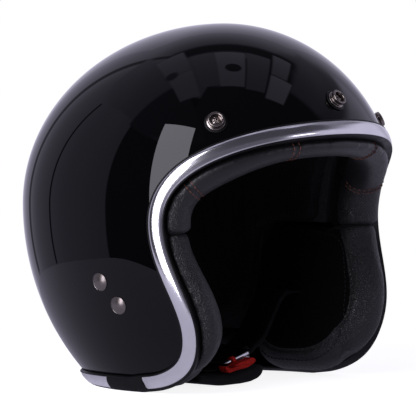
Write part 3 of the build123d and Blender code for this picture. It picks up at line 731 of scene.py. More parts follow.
# Soft pieces
use_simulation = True


def inflated(thing, voxel, pressure, cap, limit=None, settle=2):
    # swells a closed piece as cloth, keeps every point near its start and inside its room
    bpy.context.view_layer.objects.active = thing
    remesh = thing.modifiers.new("remesh", "REMESH")
    remesh.mode = "VOXEL"
    remesh.voxel_size = voxel * MM
    remesh.use_smooth_shade = True
    applied(thing)
    relax = thing.modifiers.new("relax", "SMOOTH")
    relax.iterations = settle
    applied(thing)
    before = mesh_points(thing)
    if use_simulation:
        swell = thing.modifiers.new("cloth", "CLOTH")
        swell.settings.use_pressure = True
        swell.settings.uniform_pressure_force = pressure
        swell.settings.quality = 5
        swell.settings.effector_weights.gravity = 0
        swell.settings.tension_stiffness = 12
        swell.settings.compression_stiffness = 12
        scene = bpy.context.scene
        scene.frame_start = 1
        scene.frame_end = 20
        for number in range(1, 21):
            scene.frame_set(number)
        applied(thing)
        scene.frame_set(1)
    after = mesh_points(thing)
    move = after - before
    far = np.linalg.norm(move, axis=1, keepdims=True)
    move *= np.minimum(1, cap / np.maximum(far, 1e-6))
    after = before + move
    if limit:
        after = limit(after)
    set_points(thing, after)
    return thing


def applied(thing):
    bpy.context.view_layer.update()
    graph = bpy.context.evaluated_depsgraph_get()
    made = bpy.data.meshes.new_from_object(thing.evaluated_get(graph), depsgraph=graph)
    thing.modifiers.clear()
    old = thing.data
    name = old.name
    thing.data = made
    bpy.data.meshes.remove(old)
    made.name = name


def mesh_points(thing):
    flat = np.zeros(len(thing.data.vertices) * 3, np.float32)
    thing.data.vertices.foreach_get("co", flat)
    return flat.reshape(-1, 3).astype(float) / MM - np.array([0.0, back_shift, 0.0])


def set_points(thing, points):
    thing.data.vertices.foreach_set("co", placed(points).astype(np.float32).ravel())
    thing.data.update()


def refined(thing, levels=1):
    rounds = thing.modifiers.new("rounds", "SUBSURF")
    rounds.levels = levels
    rounds.render_levels = levels
    applied(thing)
    thing.data.shade_smooth()
    return thing


def grooved(points, lines, depth, reach, normals):
    # presses seams into a soft surface: lines is a cloud of points along the seams
    lines = np.asarray(lines, float)
    result = np.array(points)
    for start in range(0, len(points), 4000):
        part = points[start:start + 4000]
        near = np.sqrt(((part[:, None] - lines[None]) ** 2).sum(-1)).min(1)
        press = depth * np.exp(-(near / reach) ** 2)
        result[start:start + 4000] = part - normals[start:start + 4000] * press[:, None]
    return result


def edge_place(points):
    # distances past the shell's edge and outward from it, at the nearest place of the edge, each with its way
    near = np.concatenate([
        ((points[start:start + 4000, None] - edge_ring[None]) ** 2).sum(-1).argmin(1)
        for start in range(0, len(points), 4000)
    ])
    away = points - edge_ring[near]
    ways = ring_beyond[near], ring_normals[near]
    return tuple(((away * way).sum(1), way) for way in ways)


def lined(thing, value, line):
    # faces below the line in a value kept for each point take the second material, a near-black lining cloth
    # whose extra darkness is painted shade; points near the line are drawn onto it first, so that the seam runs
    # clean
    points = mesh_points(thing)
    normals = mesh_normals(thing)
    near = value[0] - line
    slope = value[1] - normals * (value[1] * normals).sum(1, keepdims=True)
    steep = (slope * value[1]).sum(1)
    move = (np.abs(near) < 0.7) & (steep > 0.3)
    points[move] -= slope[move] * (near[move] / steep[move])[:, None]
    set_points(thing, points)
    near[move] = 0.0
    thing.data.materials.append(finish["pad_shade_lining"])
    for polygon in thing.data.polygons:
        polygon.material_index = int(near[list(polygon.vertices)].mean() < 0)


def mesh_normals(thing):
    flat = np.zeros(len(thing.data.vertices) * 3, np.float32)
    thing.data.vertices.foreach_get("normal", flat)
    return flat.reshape(-1, 3).astype(float)


def stitches(name, rows, thread, body, length=2.3, gap=1.1, radius=0.33):
    # rows of sewn stitches: each row is (points on the surface, outward normals)
    parts = []
    for line, normals in rows:
        places = np.concatenate([[0], np.cumsum(np.linalg.norm(np.diff(line, axis=0), axis=1))])
        count = max(int(places[-1] / (length + gap)), 1)
        for index in range(count):
            start = (index + 0.5) * places[-1] / count - length / 2
            spots = start + np.linspace(0, length, 7)
            path = np.stack([np.interp(spots, places, line[:, axis]) for axis in range(3)], axis=1)
            lift = np.stack([np.interp(spots, places, normals[:, axis]) for axis in range(3)], axis=1)
            arch = np.sin(np.linspace(0, math.pi, 7))[:, None]
            path = path + unit(lift) * (arch * 0.35 * radius + radius * 0.35)
            thick = radius * (0.35 + 0.65 * np.sin(np.linspace(0.25, math.pi - 0.25, 7)))
            parts.append(tube(path, thick, closed=False, segments=8))
    points, faces = joined(parts)
    return finished(piece(name, points, faces, body), thread)


trim_clear = 0.5
trim_ease = 1.8
bulge_inset = 0.8


def behind_trim(points, inset):
    # leather stays under the trim's inner leg and may swell past it
    free = smooth((edge_place(points)[0][0] - trim_clear) / trim_ease)[:, None]
    return kept_inside(points, bulge_inset) * free + kept_inside(points, inset) * (1 - free)


# Brow band: low over the brow, full at the temples
band_top = trim_inner - 0.3
band_setback = 19.0
band_brow_depth = 19.0
band_brow_overhang = 8.2
band_temple_depth = 22.5
band_temple_overhang = 12.6
band_end = 166.6
band_seams = [-125.0, -44.0, 44.0, 125.0]
band_seam_half = 2.35
band_lining = -3.0


def band_sections(places, count=44):
    # outline at distances along the edge, as (past the edge, outward)
    full = smooth((np.abs(np.asarray(places, float)) - 38.0) / 75.0)
    result = []
    for share in full:
        depth = band_brow_depth + (band_temple_depth - band_brow_depth) * share
        overhang = band_brow_overhang + (band_temple_overhang - band_brow_overhang) * share
        result.append(closed_curve([
            (-band_setback, band_top - depth * 0.45),
            (-band_setback * 0.7, band_top - depth * 0.06),
            (0.2, band_top),
            (overhang * 0.16 + 1.0, band_top + 2.3 + 1.9 * share),
            (overhang * 0.7, band_top + 1.9 + 1.2 * share),
            (overhang * 1.02, band_top - depth * 0.2),
            (overhang, band_top - depth * (0.58 + 0.04 * share)),
            (overhang * 0.72, band_top - depth * 0.86),
            (-band_setback * 0.2, band_top - depth),
            (-band_setback * 0.8, band_top - depth * 0.92),
        ], count))
    return np.array(result)


def make_band():
    count = 150
    places = np.linspace(-band_end, band_end, count)
    sections = band_sections(places)
    grid = edge_sweep(sections, edge_frames(-band_end, band_end, count), hug=False)
    middle = grid.mean(1, keepdims=True)
    left = band_end - np.abs(places)
    taper = np.sqrt(np.clip(1 - (1 - np.clip(left / 4.0, 0, 1)) ** 2, 0.2, 1))
    grid = middle + (grid - middle) * taper[:, None, None]
    points = grid.reshape(-1, 3)
    tail = len(points)
    size = sections.shape[1]
    faces = grid_faces(count, size)
    points = np.concatenate([points, middle[0], middle[-1]])
    faces += fan(tail, list(range(size)))
    faces += fan(tail + 1, [(count - 1) * size + index for index in range(size)])
    band = piece("brow_cushion", points, faces, "helmet")
    inflated(band, 2.4, 3.0, 1.2, lambda spots: behind_trim(spots, -band_top))
    refined(band)
    rows = []
    lines = []
    for seam in band_seams:
        for offset in (-band_seam_half, 0.0, band_seam_half):
            place = seam + offset
            section = band_sections([place])[0]
            line = edge_sweep(section, edge_frames(place, place, 1), hug=False)[0]
            if offset == 0.0:
                lines.append(line)
                continue
            low = section[:, 1].min()
            keep = (section[:, 1] > low + 0.4) & (section[:, 0] > 0.5)
            rows.append(line[keep])
    points = mesh_points(band)
    points = grooved(points, np.concatenate(lines), 1.0, 1.5, mesh_normals(band))
    past = edge_place(points)[0][0]
    seam = (edge_place(points)[1][0] < band_top - band_brow_depth * 0.6) * np.exp(-((past - band_lining) / 1.2) ** 2)
    set_points(band, points - mesh_normals(band) * (0.7 * seam)[:, None])
    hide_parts("brow_band")
    finished(band, "brow_leather")
    # the band's lower inner faces take the near-black lining cloth, whose extra darkness is painted shade
    past, out = edge_place(mesh_points(band))
    outside = out[0] > band_top - band_brow_depth * 0.5
    past[0][outside] = 0.0
    lined(band, past, band_lining)
    sewn("brow_stitches", band, rows, "thread")
    return band


def sewn(name, cushion, lines, thread, length=2.3, gap=1.0, radius=0.33):
    # lays stitch rows on the finished surface of a cushion
    rows = []
    for line in lines:
        dense = resampled(line, max(int(len(line) * 3), 12))
        spots = []
        ways = []
        for spot in dense:
            found, near, way, _ = cushion.closest_point_on_mesh(Vector(placed(spot)))
            if found:
                spots.append(np.array(near) / MM - np.array([0.0, back_shift, 0.0]))
                ways.append(np.array(way))
        if len(spots) > 3:
            rows.append((np.array(spots), np.array(ways)))
    return stitches(name, rows, thread, "helmet", length, gap, radius)


make_band()

# Crown lining: a thin cushion on the foam, with sewn channels
crown_back_inset = 28.3
crown_thickness = 6.8
crown_edge = [
    (-62.0, 176.5), (-50.0, 172.5), (-36.0, 163.0), (-22.0, 148.0), (-13.0, 132.0), (-9.5, 118.0),
    (-8.5, 110.0), (-2.0, 105.6), (14.0, 105.0), (28.0, 104.0), (36.5, 98.0), (38.0, 84.0), (38.5, 64.0),
    (40.0, 46.0), (50.0, 36.5), (72.0, 34.5), (91.0, 34.3),
]
crown_seams = [-22.0, 22.0]


def make_crown():
    side = spline(crown_edge, 700)
    wide = half_width(side[:, 0], side[:, 1], crown_back_inset)
    front = float(reaches(side[0, 1], crown_back_inset)[1])
    rear = float(reaches(side[-1, 1], crown_back_inset)[2])
    left = np.stack([wide, side[:, 0], side[:, 1]], axis=1)
    left = np.concatenate([[[0.0, -front, side[0, 1]]], left[1:-1], [[0.0, rear, side[-1, 1]]]])
    left = resampled(left, 151)
    rim = np.concatenate([left, left[-2:0:-1] * mirrored])
    columns = len(rim)
    rows = 60
    top, outer = spread(rim, rows, crown_back_inset, 0.85)
    normals = outward(outer, crown_back_inset)
    gap = np.linalg.norm(outer - rim[None], axis=2)
    full = np.clip(gap / 7.0, 0, 1)
    thick = crown_thickness * np.sqrt(np.clip(1 - (1 - full) ** 2, 0.0, 1))
    for seam in crown_seams:
        thick = thick - 2.6 * np.exp(-((outer[..., 0] - seam) / 1.9) ** 2) * full
    ribs = np.cos(outer[..., 0] / 3.5 * math.pi) * 0.22
    thick = np.clip(thick + ribs * full, 0.0, None)
    inner = outer - normals * thick[..., None]
    centre_thick = crown_thickness
    low_top = top - outward(top[None], crown_back_inset)[0] * centre_thick
    outer_points = np.concatenate([outer.reshape(-1, 3), [top]])
    inner_points = np.concatenate([inner.reshape(-1, 3), [low_top]])
    start = len(outer_points)
    faces = grid_faces(rows, columns)
    faces += [face[::-1] for face in fan(start - 1, list(range(columns)))[::-1]]
    faces += [face[::-1] for face in grid_faces(rows, columns, start=start)]
    faces += fan(start + len(inner_points) - 1, list(range(start, start + columns)))
    crown = piece("crown_cushion", np.concatenate([outer_points, inner_points]), faces, "helmet")
    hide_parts("crown_liner")
    return finished(crown, "crown")


make_crown()

# Cheek pads
pad_back_inset = 6.2
pad_top = 104.5
pad_bottom = 4.5
pad_front = -53.0
pad_rear = 36.0
pad_face_top = 80.0
pad_face_bottom = 61.0
pad_outline_shares = [
    (0.33, 1.0), (0.14, 0.93), (0.08, 0.78), (0.03, 0.62), (0.0, 0.44), (0.02, 0.25),
    (0.12, 0.1), (0.32, 0.01), (0.58, 0.0), (0.84, 0.03), (0.96, 0.15), (1.0, 0.45),
    (0.98, 0.8), (0.88, 0.98), (0.6, 1.02),
]
pad_levels = [(0.35, -1.5), (0.6, -1.0), (0.78, 0.6), (0.9, 3.4), (0.97, 9.0), (1.0, 18.0)]
# The roll along the pad's front and foot, as (past the edge, outward)
pad_roll = [
    (-26.0, -20.0), (-24.0, -8.5), (-10.0, -6.4), (0.6, -6.0), (2.8, -2.8), (7.2, -2.6), (10.6, -6.8),
    (11.4, -13.6), (9.4, -21.0), (3.6, -27.2), (-5.0, -30.6), (-14.0, -31.5), (-22.0, -30.0),
]
pad_shade_lining = -29.0
pad_roll_start = 163.2
pad_roll_drop = 7.6


def pad_frame():
    lean = math.atan2(pad_face_top - pad_face_bottom, pad_top - pad_bottom)
    middle = np.array([
        (pad_face_top + pad_face_bottom) / 2, (pad_front + pad_rear) / 2, (pad_top + pad_bottom) / 2,
    ])
    deep = np.array([math.cos(lean), 0.0, -math.sin(lean)])
    along = np.array([0.0, 1.0, 0.0])
    return middle, along, np.cross(deep, along), deep


def pad_ring(size, depth, count=84):
    middle, along, rise, deep = pad_frame()
    shares = closed_curve(pad_outline_shares, count)
    flat_y = (shares[:, 0] - 0.5) * (pad_rear - pad_front) * size
    flat_z = (shares[:, 1] - 0.5) * (pad_top - pad_bottom) * size
    return middle + flat_y[:, None] * along + flat_z[:, None] * rise + deep * depth


def pad_back(ring):
    # follows the pad's depth until it meets the room behind the shell
    deep = pad_frame()[3]
    low = np.zeros(len(ring))
    high = np.full(len(ring), 90.0)
    for _ in range(30):
        middle = (low + high) / 2
        outside = level(ring + deep * middle[:, None], pad_back_inset) > 0
        high = np.where(outside, middle, high)
        low = np.where(outside, low, middle)
    return ring + deep * middle[:, None]


def pad_edge_roll(count=110):
    # closed sweep along the left edge, drawn back from the ground at its foot
    last = edge_length * float(np.argmax((left_edge[:, 2] < 60) & (left_edge[:, 1] > 24.0))) / half_stations
    frames = edge_frames(pad_roll_start, last, count)
    section = closed_curve(pad_roll, 40)
    lift = pad_roll_drop * (1 - smooth((frames[0][:, 2] - 4.0) / 34.0))
    sections = section[None] - np.stack([lift, np.zeros(count)], axis=1)[:, None]
    grid = edge_sweep(sections, frames, hug=False)
    middle = grid.mean(1, keepdims=True)
    places = np.linspace(0, last - pad_roll_start, count)
    left = np.minimum(places / 4.0, (places[-1] - places) / 14.0)
    taper = np.sqrt(np.clip(1 - (1 - np.clip(left, 0, 1)) ** 2, 0.04, 1))
    grid = middle + (grid - middle) * taper[:, None, None]
    size = section.shape[0]
    points = np.concatenate([grid.reshape(-1, 3), middle[0], middle[-1]])
    faces = grid_faces(count, size)
    faces += fan(count * size, list(range(size)))
    faces += fan(count * size + 1, [(count - 1) * size + index for index in range(size)])
    return points, faces


def make_pad(name, side, node):
    rings = [pad_ring(size, depth) for size, depth in pad_levels]
    outer = pad_back(pad_ring(1.0, 0.0))
    for share in (0.35, 0.7, 0.93):
        rings.append(rings[5] * (1 - share) + outer * share)
    rings.append(pad_back(pad_ring(0.975, 0.0)))
    for size in (0.85, 0.65, 0.35):
        rings.append(pad_back(pad_ring(size, 0.0)))
    grid = np.array(rings)
    size = grid.shape[1]
    points = grid.reshape(-1, 3)
    tail = len(points)
    points = np.concatenate([points, [grid[0].mean(0)], [pad_back(grid[-1].mean(0)[None])[0]]])
    faces = grid_faces(len(rings), size)
    faces += fan(tail, list(range(size)))[::-1]
    faces += [face[::-1] for face in fan(tail + 1, [(len(rings) - 1) * size + spot for spot in range(size)])]
    points, faces = joined([(points, faces), pad_edge_roll()])
    points = points * np.array([side, 1.0, 1.0])
    pad = piece(name, points, faces, "helmet")
    inflated(pad, 2.4, 4.0, 1.4, lambda spots: on_ground(behind_trim(spots, pad_back_inset)), settle=2)
    refined(pad)
    points = mesh_points(pad)
    press = 0.9 * np.exp(-((edge_place(points)[1][0] - pad_shade_lining) / 1.1) ** 2)
    set_points(pad, behind_trim(points - mesh_normals(pad) * press[:, None], pad_back_inset))
    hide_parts(node)
    finished(pad, "leather")
    # the pad's inward faces take the near-black lining cloth, whose extra darkness is painted shade
    lined(pad, edge_place(mesh_points(pad))[1], pad_shade_lining)
    line = resampled(np.concatenate([pad_ring(0.88, 3.0), pad_ring(0.88, 3.0)[:1]]), 160)
    sewn(name + "_stitches", pad, [line * np.array([side, 1.0, 1.0])], "black_thread", radius=0.3)
    return pad


make_pad("cheek_cushion_left", 1.0, "cheek_pad_left")
make_pad("cheek_cushion_right", -1.0, "cheek_pad_right")

# Neck roll
roll_thickness = 17.0
roll_height = 25.0
roll_ceiling = 29.4


def make_roll():
    outline = [
        (-roll_height, band_top - roll_thickness * 0.5),
        (-roll_height * 0.75, band_top - roll_thickness * 0.06),
        (-roll_height * 0.3, band_top - roll_thickness * 0.02),
        (0.0, band_top - roll_thickness * 0.18),
        (trim_crest * 0.6, band_top - roll_thickness * 0.55),
        (-roll_height * 0.15, band_top - roll_thickness * 0.95),
        (-roll_height * 0.65, band_top - roll_thickness),
    ]
    section = closed_curve(outline, 36)
    start = edge_length * float(np.argmax(left_edge[:, 1] > 42.0)) / half_stations
    count = 110
    frames = edge_frames(start, 2 * edge_length - start, count)
    grid = edge_sweep(section, frames, hug=False)
    middle = grid.mean(1, keepdims=True)
    left = (1 - np.abs(np.linspace(-1, 1, count))) * (edge_length - start)
    taper = np.sqrt(np.clip(1 - (1 - np.clip(left / 8.0, 0, 1)) ** 2, 0.02, 1))
    grid = middle + (grid - middle) * taper[:, None, None]
    size = len(section)
    points = np.concatenate([grid.reshape(-1, 3), middle[0], middle[-1]])
    points[:, 2] = np.minimum(points[:, 2], roll_ceiling)
    faces = grid_faces(count, size)
    faces += fan(count * size, list(range(size))[::-1])
    faces += fan(count * size + 1, [(count - 1) * size + index for index in range(size)])
    roll = piece("neck_cushion", points, faces, "helmet")

    def room(spots):
        spots = kept_inside(spots, -band_top)
        spots[:, 2] = np.minimum(spots[:, 2], roll_ceiling)
        return on_ground(spots)

    inflated(roll, 3.0, 3.0, 1.0, room)
    refined(roll)
    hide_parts("neck_roll")
    return finished(roll, "leather")


make_roll()

# Snap studs and strap rivets
centre_stud_height = 188.3
side_stud_height = 174.4
side_stud_back = -63.3
stud_points = {
    "centre": np.array([0.0, -float(reaches(centre_stud_height)[1]), centre_stud_height]),
    "right": np.array([-float(half_width(side_stud_back, side_stud_height)), side_stud_back, side_stud_height]),
    "left": np.array([float(half_width(side_stud_back, side_stud_height)), side_stud_back, side_stud_height]),
}
stud_turns = {"centre": 20.0, "right": 55.0, "left": -10.0}


def arc(centre, radius, first, last, count=7):
    turns = np.radians(np.linspace(first, last, count))
    return [(centre[0] + radius * math.cos(turn), centre[1] + radius * math.sin(turn)) for turn in turns]


def make_stud(side):
    origin = stud_points[side]
    normal = outward(origin[None])[0]
    profile = [(1.7, 0.7), (5.6, 0.7)] + arc((5.6, 1.1), 0.4, -60, 80) + arc((4.75, 1.95), 0.45, 250, 180, 4)
    profile += [(4.3, 2.5)] + arc((4.85, 3.1), 0.4, 240, 360, 6) + arc((4.6, 4.6), 0.65, 0, 90, 7)
    profile += arc((4.35, 4.6), 0.65, 90, 180, 7) + [(3.65, 4.0), (3.6, 2.15), (1.7, 2.1), (1.7, 0.7)]
    points, faces = lathed(profile, origin, normal)
    stud = piece("snap_stud_" + side + "_body", points, faces, "helmet", 60)
    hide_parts("snap_stud_" + side)
    finished(stud, "stud")
    washer = [(1.7, 0.05)] + [(7.1, 0.05)] + arc((7.1, 0.35), 0.3, -90, 90, 7) + [(1.7, 0.65)]
    screw = screw_head(origin, normal, stud_turns[side])
    return lathed(washer, origin, normal), screw


def screw_head(origin, normal, turn):
    # domed head with a crossed recess
    across = unit(np.cross([0, 0, 1.0], normal))
    other = np.cross(normal, across)
    rings = 16
    segments = 64
    points = []
    for row in range(rings + 1):
        radius = 2.9 * row / rings
        for step in range(segments):
            angle = 2 * math.pi * step / segments
            x, y = radius * math.cos(angle), radius * math.sin(angle)
            local = angle + math.radians(turn)
            u, v = radius * math.cos(local), radius * math.sin(local)
            height = 2.2 + 1.5 * math.sqrt(max(1 - (radius / 3.1) ** 2, 0))
            slot = max(1 - (abs(u) / 0.42) ** 4, 1 - (abs(v) / 0.42) ** 4, 0)
            fade = max(1 - (radius / 2.1) ** 6, 0)
            height -= 1.0 * slot * fade
            points.append(origin + across * x + other * y + normal * height)
    for step in range(segments):
        angle = 2 * math.pi * step / segments
        points.append(origin + (across * math.cos(angle) + other * math.sin(angle)) * 2.9 + normal * 2.16)
    return np.array(points), grid_faces(rings + 2, segments)


def make_studs():
    washers = []
    screws = []
    for side in stud_points:
        washer, screw = make_stud(side)
        washers.append(washer)
        screws.append(screw)
    points, faces = joined(washers)
    ring = piece("stud_washers", points, faces, "helmet", 60)
    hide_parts("snap_washers")
    finished(ring, "rubber")
    points, faces = joined(screws)
    heads = piece("stud_screws", points, faces, "helmet", 60)
    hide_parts("snap_screws")
    finished(heads, "stud")


make_studs()

rivet_places = [(7.1, 72.1), (-5.8, 57.4)]
rivet_radius = 6.0
rivet_height = 2.3


def make_rivets(name, side, node):
    dome = (rivet_radius ** 2 + rivet_height ** 2) / (2 * rivet_height)
    edge = math.degrees(math.asin(rivet_radius / dome))
    profile = [(2.4, -6.9), (2.4, 0.02), (5.4, 0.02)]
    profile += [(5.9, 0.12), (6.0, 0.3)]
    for turn in np.linspace(edge * 0.97, 0, 12):
        wave = math.radians(turn)
        profile.append((dome * math.sin(wave), 0.05 + rivet_height - dome * (1 - math.cos(wave))))
    parts = []
    for back, height in rivet_places:
        origin = np.array([side * float(half_width(back, height)), back, height])
        parts.append(lathed(profile, origin, outward(origin[None])[0]))
    points, faces = joined(parts)
    rivets = piece(name, points, faces, "helmet", 45)
    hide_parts(node)
    finished(rivets, "rivet")


make_rivets("strap_rivets_left", 1.0, "rivets_left")
make_rivets("strap_rivets_right", -1.0, "rivets_right")

# Chin strap
strap_width = 24.5
strap_thickness = 1.8
strap_gap = 0.3
short_strap_thickness = 3.8
hinge_half_span = 56.0
hinge_height = 58.0
ring_pivot = (9.2, 20.6)
ring_slope = math.radians(14.2)
ring_wire_radius = 1.5
ring_side = 15.1
ring_corner = 4.0
ring_bow = 2.0
long_ring_length = 27.5
short_ring_length = 16.0
ring_spacing = 3.3


def ring_spot(distance, height):
    return np.array([
        ring_pivot[0] - math.cos(ring_slope) * distance - math.sin(ring_slope) * height,
        ring_pivot[1] - math.sin(ring_slope) * distance + math.cos(ring_slope) * height,
    ])


def ribbon(name, path, body, thickness=strap_thickness, width=strap_width, look="webbing", closed=False):
    # band of webbing: path is (x, z), the width lies along Y; its UV holds lengths in millimetres
    path = np.asarray(path, float)
    length = np.linalg.norm(np.diff(path, axis=0), axis=1).sum()
    path = resampled(path, max(int(length / 1.2), 8))
    runs = unit(np.gradient(path, axis=0))
    normals = np.stack([-runs[:, 1], runs[:, 0]], axis=1)
    half = thickness / 2
    edge = width / 2
    section = rounded(
        [(0, -half), (edge, -half), (edge, half), (-edge, half), (-edge, -half), (0, -half)],
        [half * 0.9] * 4, arc=5,
    )[:-1]
    grid = []
    for spot, normal in zip(path, normals):
        ring = np.stack([
            spot[0] + normal[0] * section[:, 1], section[:, 0], spot[1] + normal[1] * section[:, 1],
        ], axis=1)
        grid.append(ring)
    grid = np.array(grid)
    size = len(section)
    points = np.concatenate([grid.reshape(-1, 3), grid[0].mean(0)[None], grid[-1].mean(0)[None]])
    count = len(path)
    faces = grid_faces(count, size)
    faces += fan(count * size, list(range(size)))
    faces += [face[::-1] for face in fan(count * size + 1, [(count - 1) * size + spot for spot in range(size)])]
    band = piece(name, points, faces, body, 60)
    places = np.concatenate([[0], np.cumsum(np.linalg.norm(np.diff(path, axis=0), axis=1))])
    across = np.concatenate([np.tile(section[:, 0], count), [0, 0]])
    along = np.concatenate([np.repeat(places, size), [places[0], places[-1]]])
    layer = band.data.uv_layers.new(name="lengths")
    corners = np.zeros(len(band.data.loops), int)
    band.data.loops.foreach_get("vertex_index", corners)
    layer.data.foreach_set("uv", np.stack([across[corners], along[corners]], axis=1).ravel())
    return finished(band, look)


def half_turn(centre, radius, first, last, count=13):
    return np.array(arc(centre, radius, math.degrees(first), math.degrees(last), count))


def make_straps():
    wrap = ring_wire_radius + strap_gap
    high = ring_spot(0, 0)
    low = ring_spot(0, -ring_spacing)
    middle = (high + low) / 2
    path = rounded([
        (hinge_half_span, hinge_height), (hinge_half_span - 3.5, hinge_height),
        (hinge_half_span - 10.5, hinge_height - 6.0), (middle[0] + 20.0, middle[1] + 10.5),
        (middle[0] + wrap + 1.9, middle[1] + 0.4),
    ], [2.6, 6.0, 6.0], arc=9)
    band = ribbon("strap_short_run", path, "chin_strap", short_strap_thickness)
    up = -ring_slope + math.pi / 2
    radius = wrap + strap_thickness / 2
    top = half_turn(high, radius, up - 1.25, up + math.pi / 2)
    bottom = half_turn(low, radius, up + math.pi / 2, up + math.pi + 1.25)
    loop = ribbon("strap_ring_loop", np.concatenate([top, bottom]), "chin_strap")
    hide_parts("short_strap")
    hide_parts("short_strap")
    wrap_middle = wrap + strap_thickness / 2
    bow = short_ring_length - ring_bow * (strap_width / 2 / ring_side) ** 2
    under = -ring_wire_radius - strap_gap - strap_thickness / 2
    step = strap_thickness + strap_gap + strap_gap / 3
    first = rounded([
        (-hinge_half_span, hinge_height), (-hinge_half_span + 3.0, hinge_height),
        (-hinge_half_span + 3.0, 8.0), (-44.0, 5.4), (-27.0, 5.6),
        ring_spot(long_ring_length, under - step), ring_spot(bow, -ring_spacing - wrap_middle),
    ], [2.0, 5.0, 3.0, 6.0, 6.0], arc=9)
    centre = ring_spot(bow, -ring_spacing)
    turn = half_turn(centre, wrap_middle, up - math.pi, up - 2 * math.pi)
    last = rounded([
        ring_spot(bow, -ring_spacing + wrap_middle),
        ring_spot(short_ring_length + ring_wire_radius, -ring_spacing + wrap_middle),
        ring_spot(long_ring_length - ring_bow - ring_wire_radius * 1.4, under),
        ring_spot(long_ring_length + 7.0, under), (-34.5, 9.9),
    ], [2.0, 2.0, 6.0], arc=9)
    long = ribbon("strap_long_run", np.concatenate([first, turn[1:-1], last]), "chin_strap")
    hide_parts("long_strap")
    for name, side, node in (("left", 1.0, "strap_end_left"), ("right", -1.0, "strap_end_right")):
        lowest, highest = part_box(node)
        outer = max(abs(lowest.x), abs(highest.x)) / MM - strap_thickness / 2
        inner = outer - 3.4
        path = rounded([
            (side * outer, 72.0), (side * inner, hinge_height), (side * (hinge_half_span + strap_gap), hinge_height),
        ], [3.0], arc=9)
        end = ribbon("strap_anchored_" + name, path, "helmet")
        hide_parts(node)


make_straps()


def make_ring(name, length, drop, body, node):
    turn = ring_slope
    start = ring_spot(0, -drop)
    side_end = length - ring_bow
    bow_points = [(side_end + ring_bow * (1 - (share / ring_side) ** 2), share) for share in
                  np.linspace(ring_side, -ring_side, 17)]
    outline = [(0.0, 0.0), (0.0, ring_side)] + bow_points + [(0.0, -ring_side), (0.0, 0.0)]
    radii = [ring_corner] + [ring_corner] + [0.5] * 15 + [ring_corner] + [ring_corner]
    path = rounded(outline, radii, arc=10)
    path = resampled(path, 161)[:-1]
    points = np.stack([
        start[0] - math.cos(turn) * path[:, 0], path[:, 1], start[1] - math.sin(turn) * path[:, 0],
    ], axis=1)
    spots, faces = tube(points, ring_wire_radius, segments=24)
    ring = piece(name, spots, faces, body)
    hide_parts(node)
    return finished(ring, "ring")


make_ring("wire_ring_long", long_ring_length, 0.0, "release_ring", "long_ring")
make_ring("wire_ring_short", short_ring_length, ring_spacing, "chin_strap", "short_ring")

# Chin pad, pull tab and woven tag
chin_outline = [
    (-49.0, 5.8), (-42.0, 3.0), (-27.0, 0.9), (-14.0, 0.0), (0.0, 0.6), (12.0, 2.2), (18.5, 6.0),
    (19.6, 9.6), (16.5, 12.2), (9.0, 10.6), (-4.0, 8.6), (-16.0, 7.2), (-28.0, 7.7), (-42.0, 7.9),
    (-48.0, 7.4),
]
chin_pad_width = 40.0
tab_outline = [
    (-25.7, 13.0), (-23.7, 9.6), (-18.5, 9.2), (-8.1, 10.5), (1.6, 12.6), (5.6, 15.6), (2.4, 17.4),
    (-3.2, 16.0), (-7.0, 15.6), (-11.5, 14.9), (-15.5, 13.4), (-20.6, 12.4),
]
tab_width = 6.5


def slab(outline, levels, start):
    # stacks a closed (x, z) outline along Y: levels are (distance, drawn in)
    outline = np.asarray(outline, float)
    ahead = np.roll(outline, -1, axis=0) - np.roll(outline, 1, axis=0)
    normal = unit(np.stack([ahead[:, 1], -ahead[:, 0]], axis=1))
    area = (outline[:, 0] * np.roll(outline[:, 1], -1) - np.roll(outline[:, 0], -1) * outline[:, 1]).sum()
    normal = normal if area > 0 else -normal
    rings = []
    for distance, drawn in levels:
        flat = outline - normal * drawn
        rings.append(np.stack([flat[:, 0], np.full(len(flat), start + distance), flat[:, 1]], axis=1))
    size = len(outline)
    points = np.concatenate(rings + [rings[0].mean(0)[None], rings[-1].mean(0)[None]])
    count = len(rings)
    faces = grid_faces(count, size)
    faces += fan(count * size, list(range(size)))[::-1]
    faces += [face[::-1] for face in fan(count * size + 1, [(count - 1) * size + spot for spot in range(size)])]
    return points, faces


def make_chin_pad():
    outline = closed_curve(chin_outline, 90)
    half = chin_pad_width / 2
    levels = [(0.0, 1.9), (0.5, 1.0), (1.4, 0.4), (3.0, 0.0)]
    levels += [(share, 0.0) for share in np.linspace(5.0, chin_pad_width - 5.0, 12)]
    levels += [(chin_pad_width - distance, drawn) for distance, drawn in [(3.0, 0.0), (1.4, 0.4), (0.5, 1.0), (0.0, 1.9)]]
    points, faces = slab(outline, levels, -half)
    pad = piece("chin_cushion", points, faces, "chin_strap")
    inflated(pad, 1.6, 2.5, 0.6, on_ground, settle=1)
    refined(pad)
    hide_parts("chin_pad")
    return finished(pad, "lining")


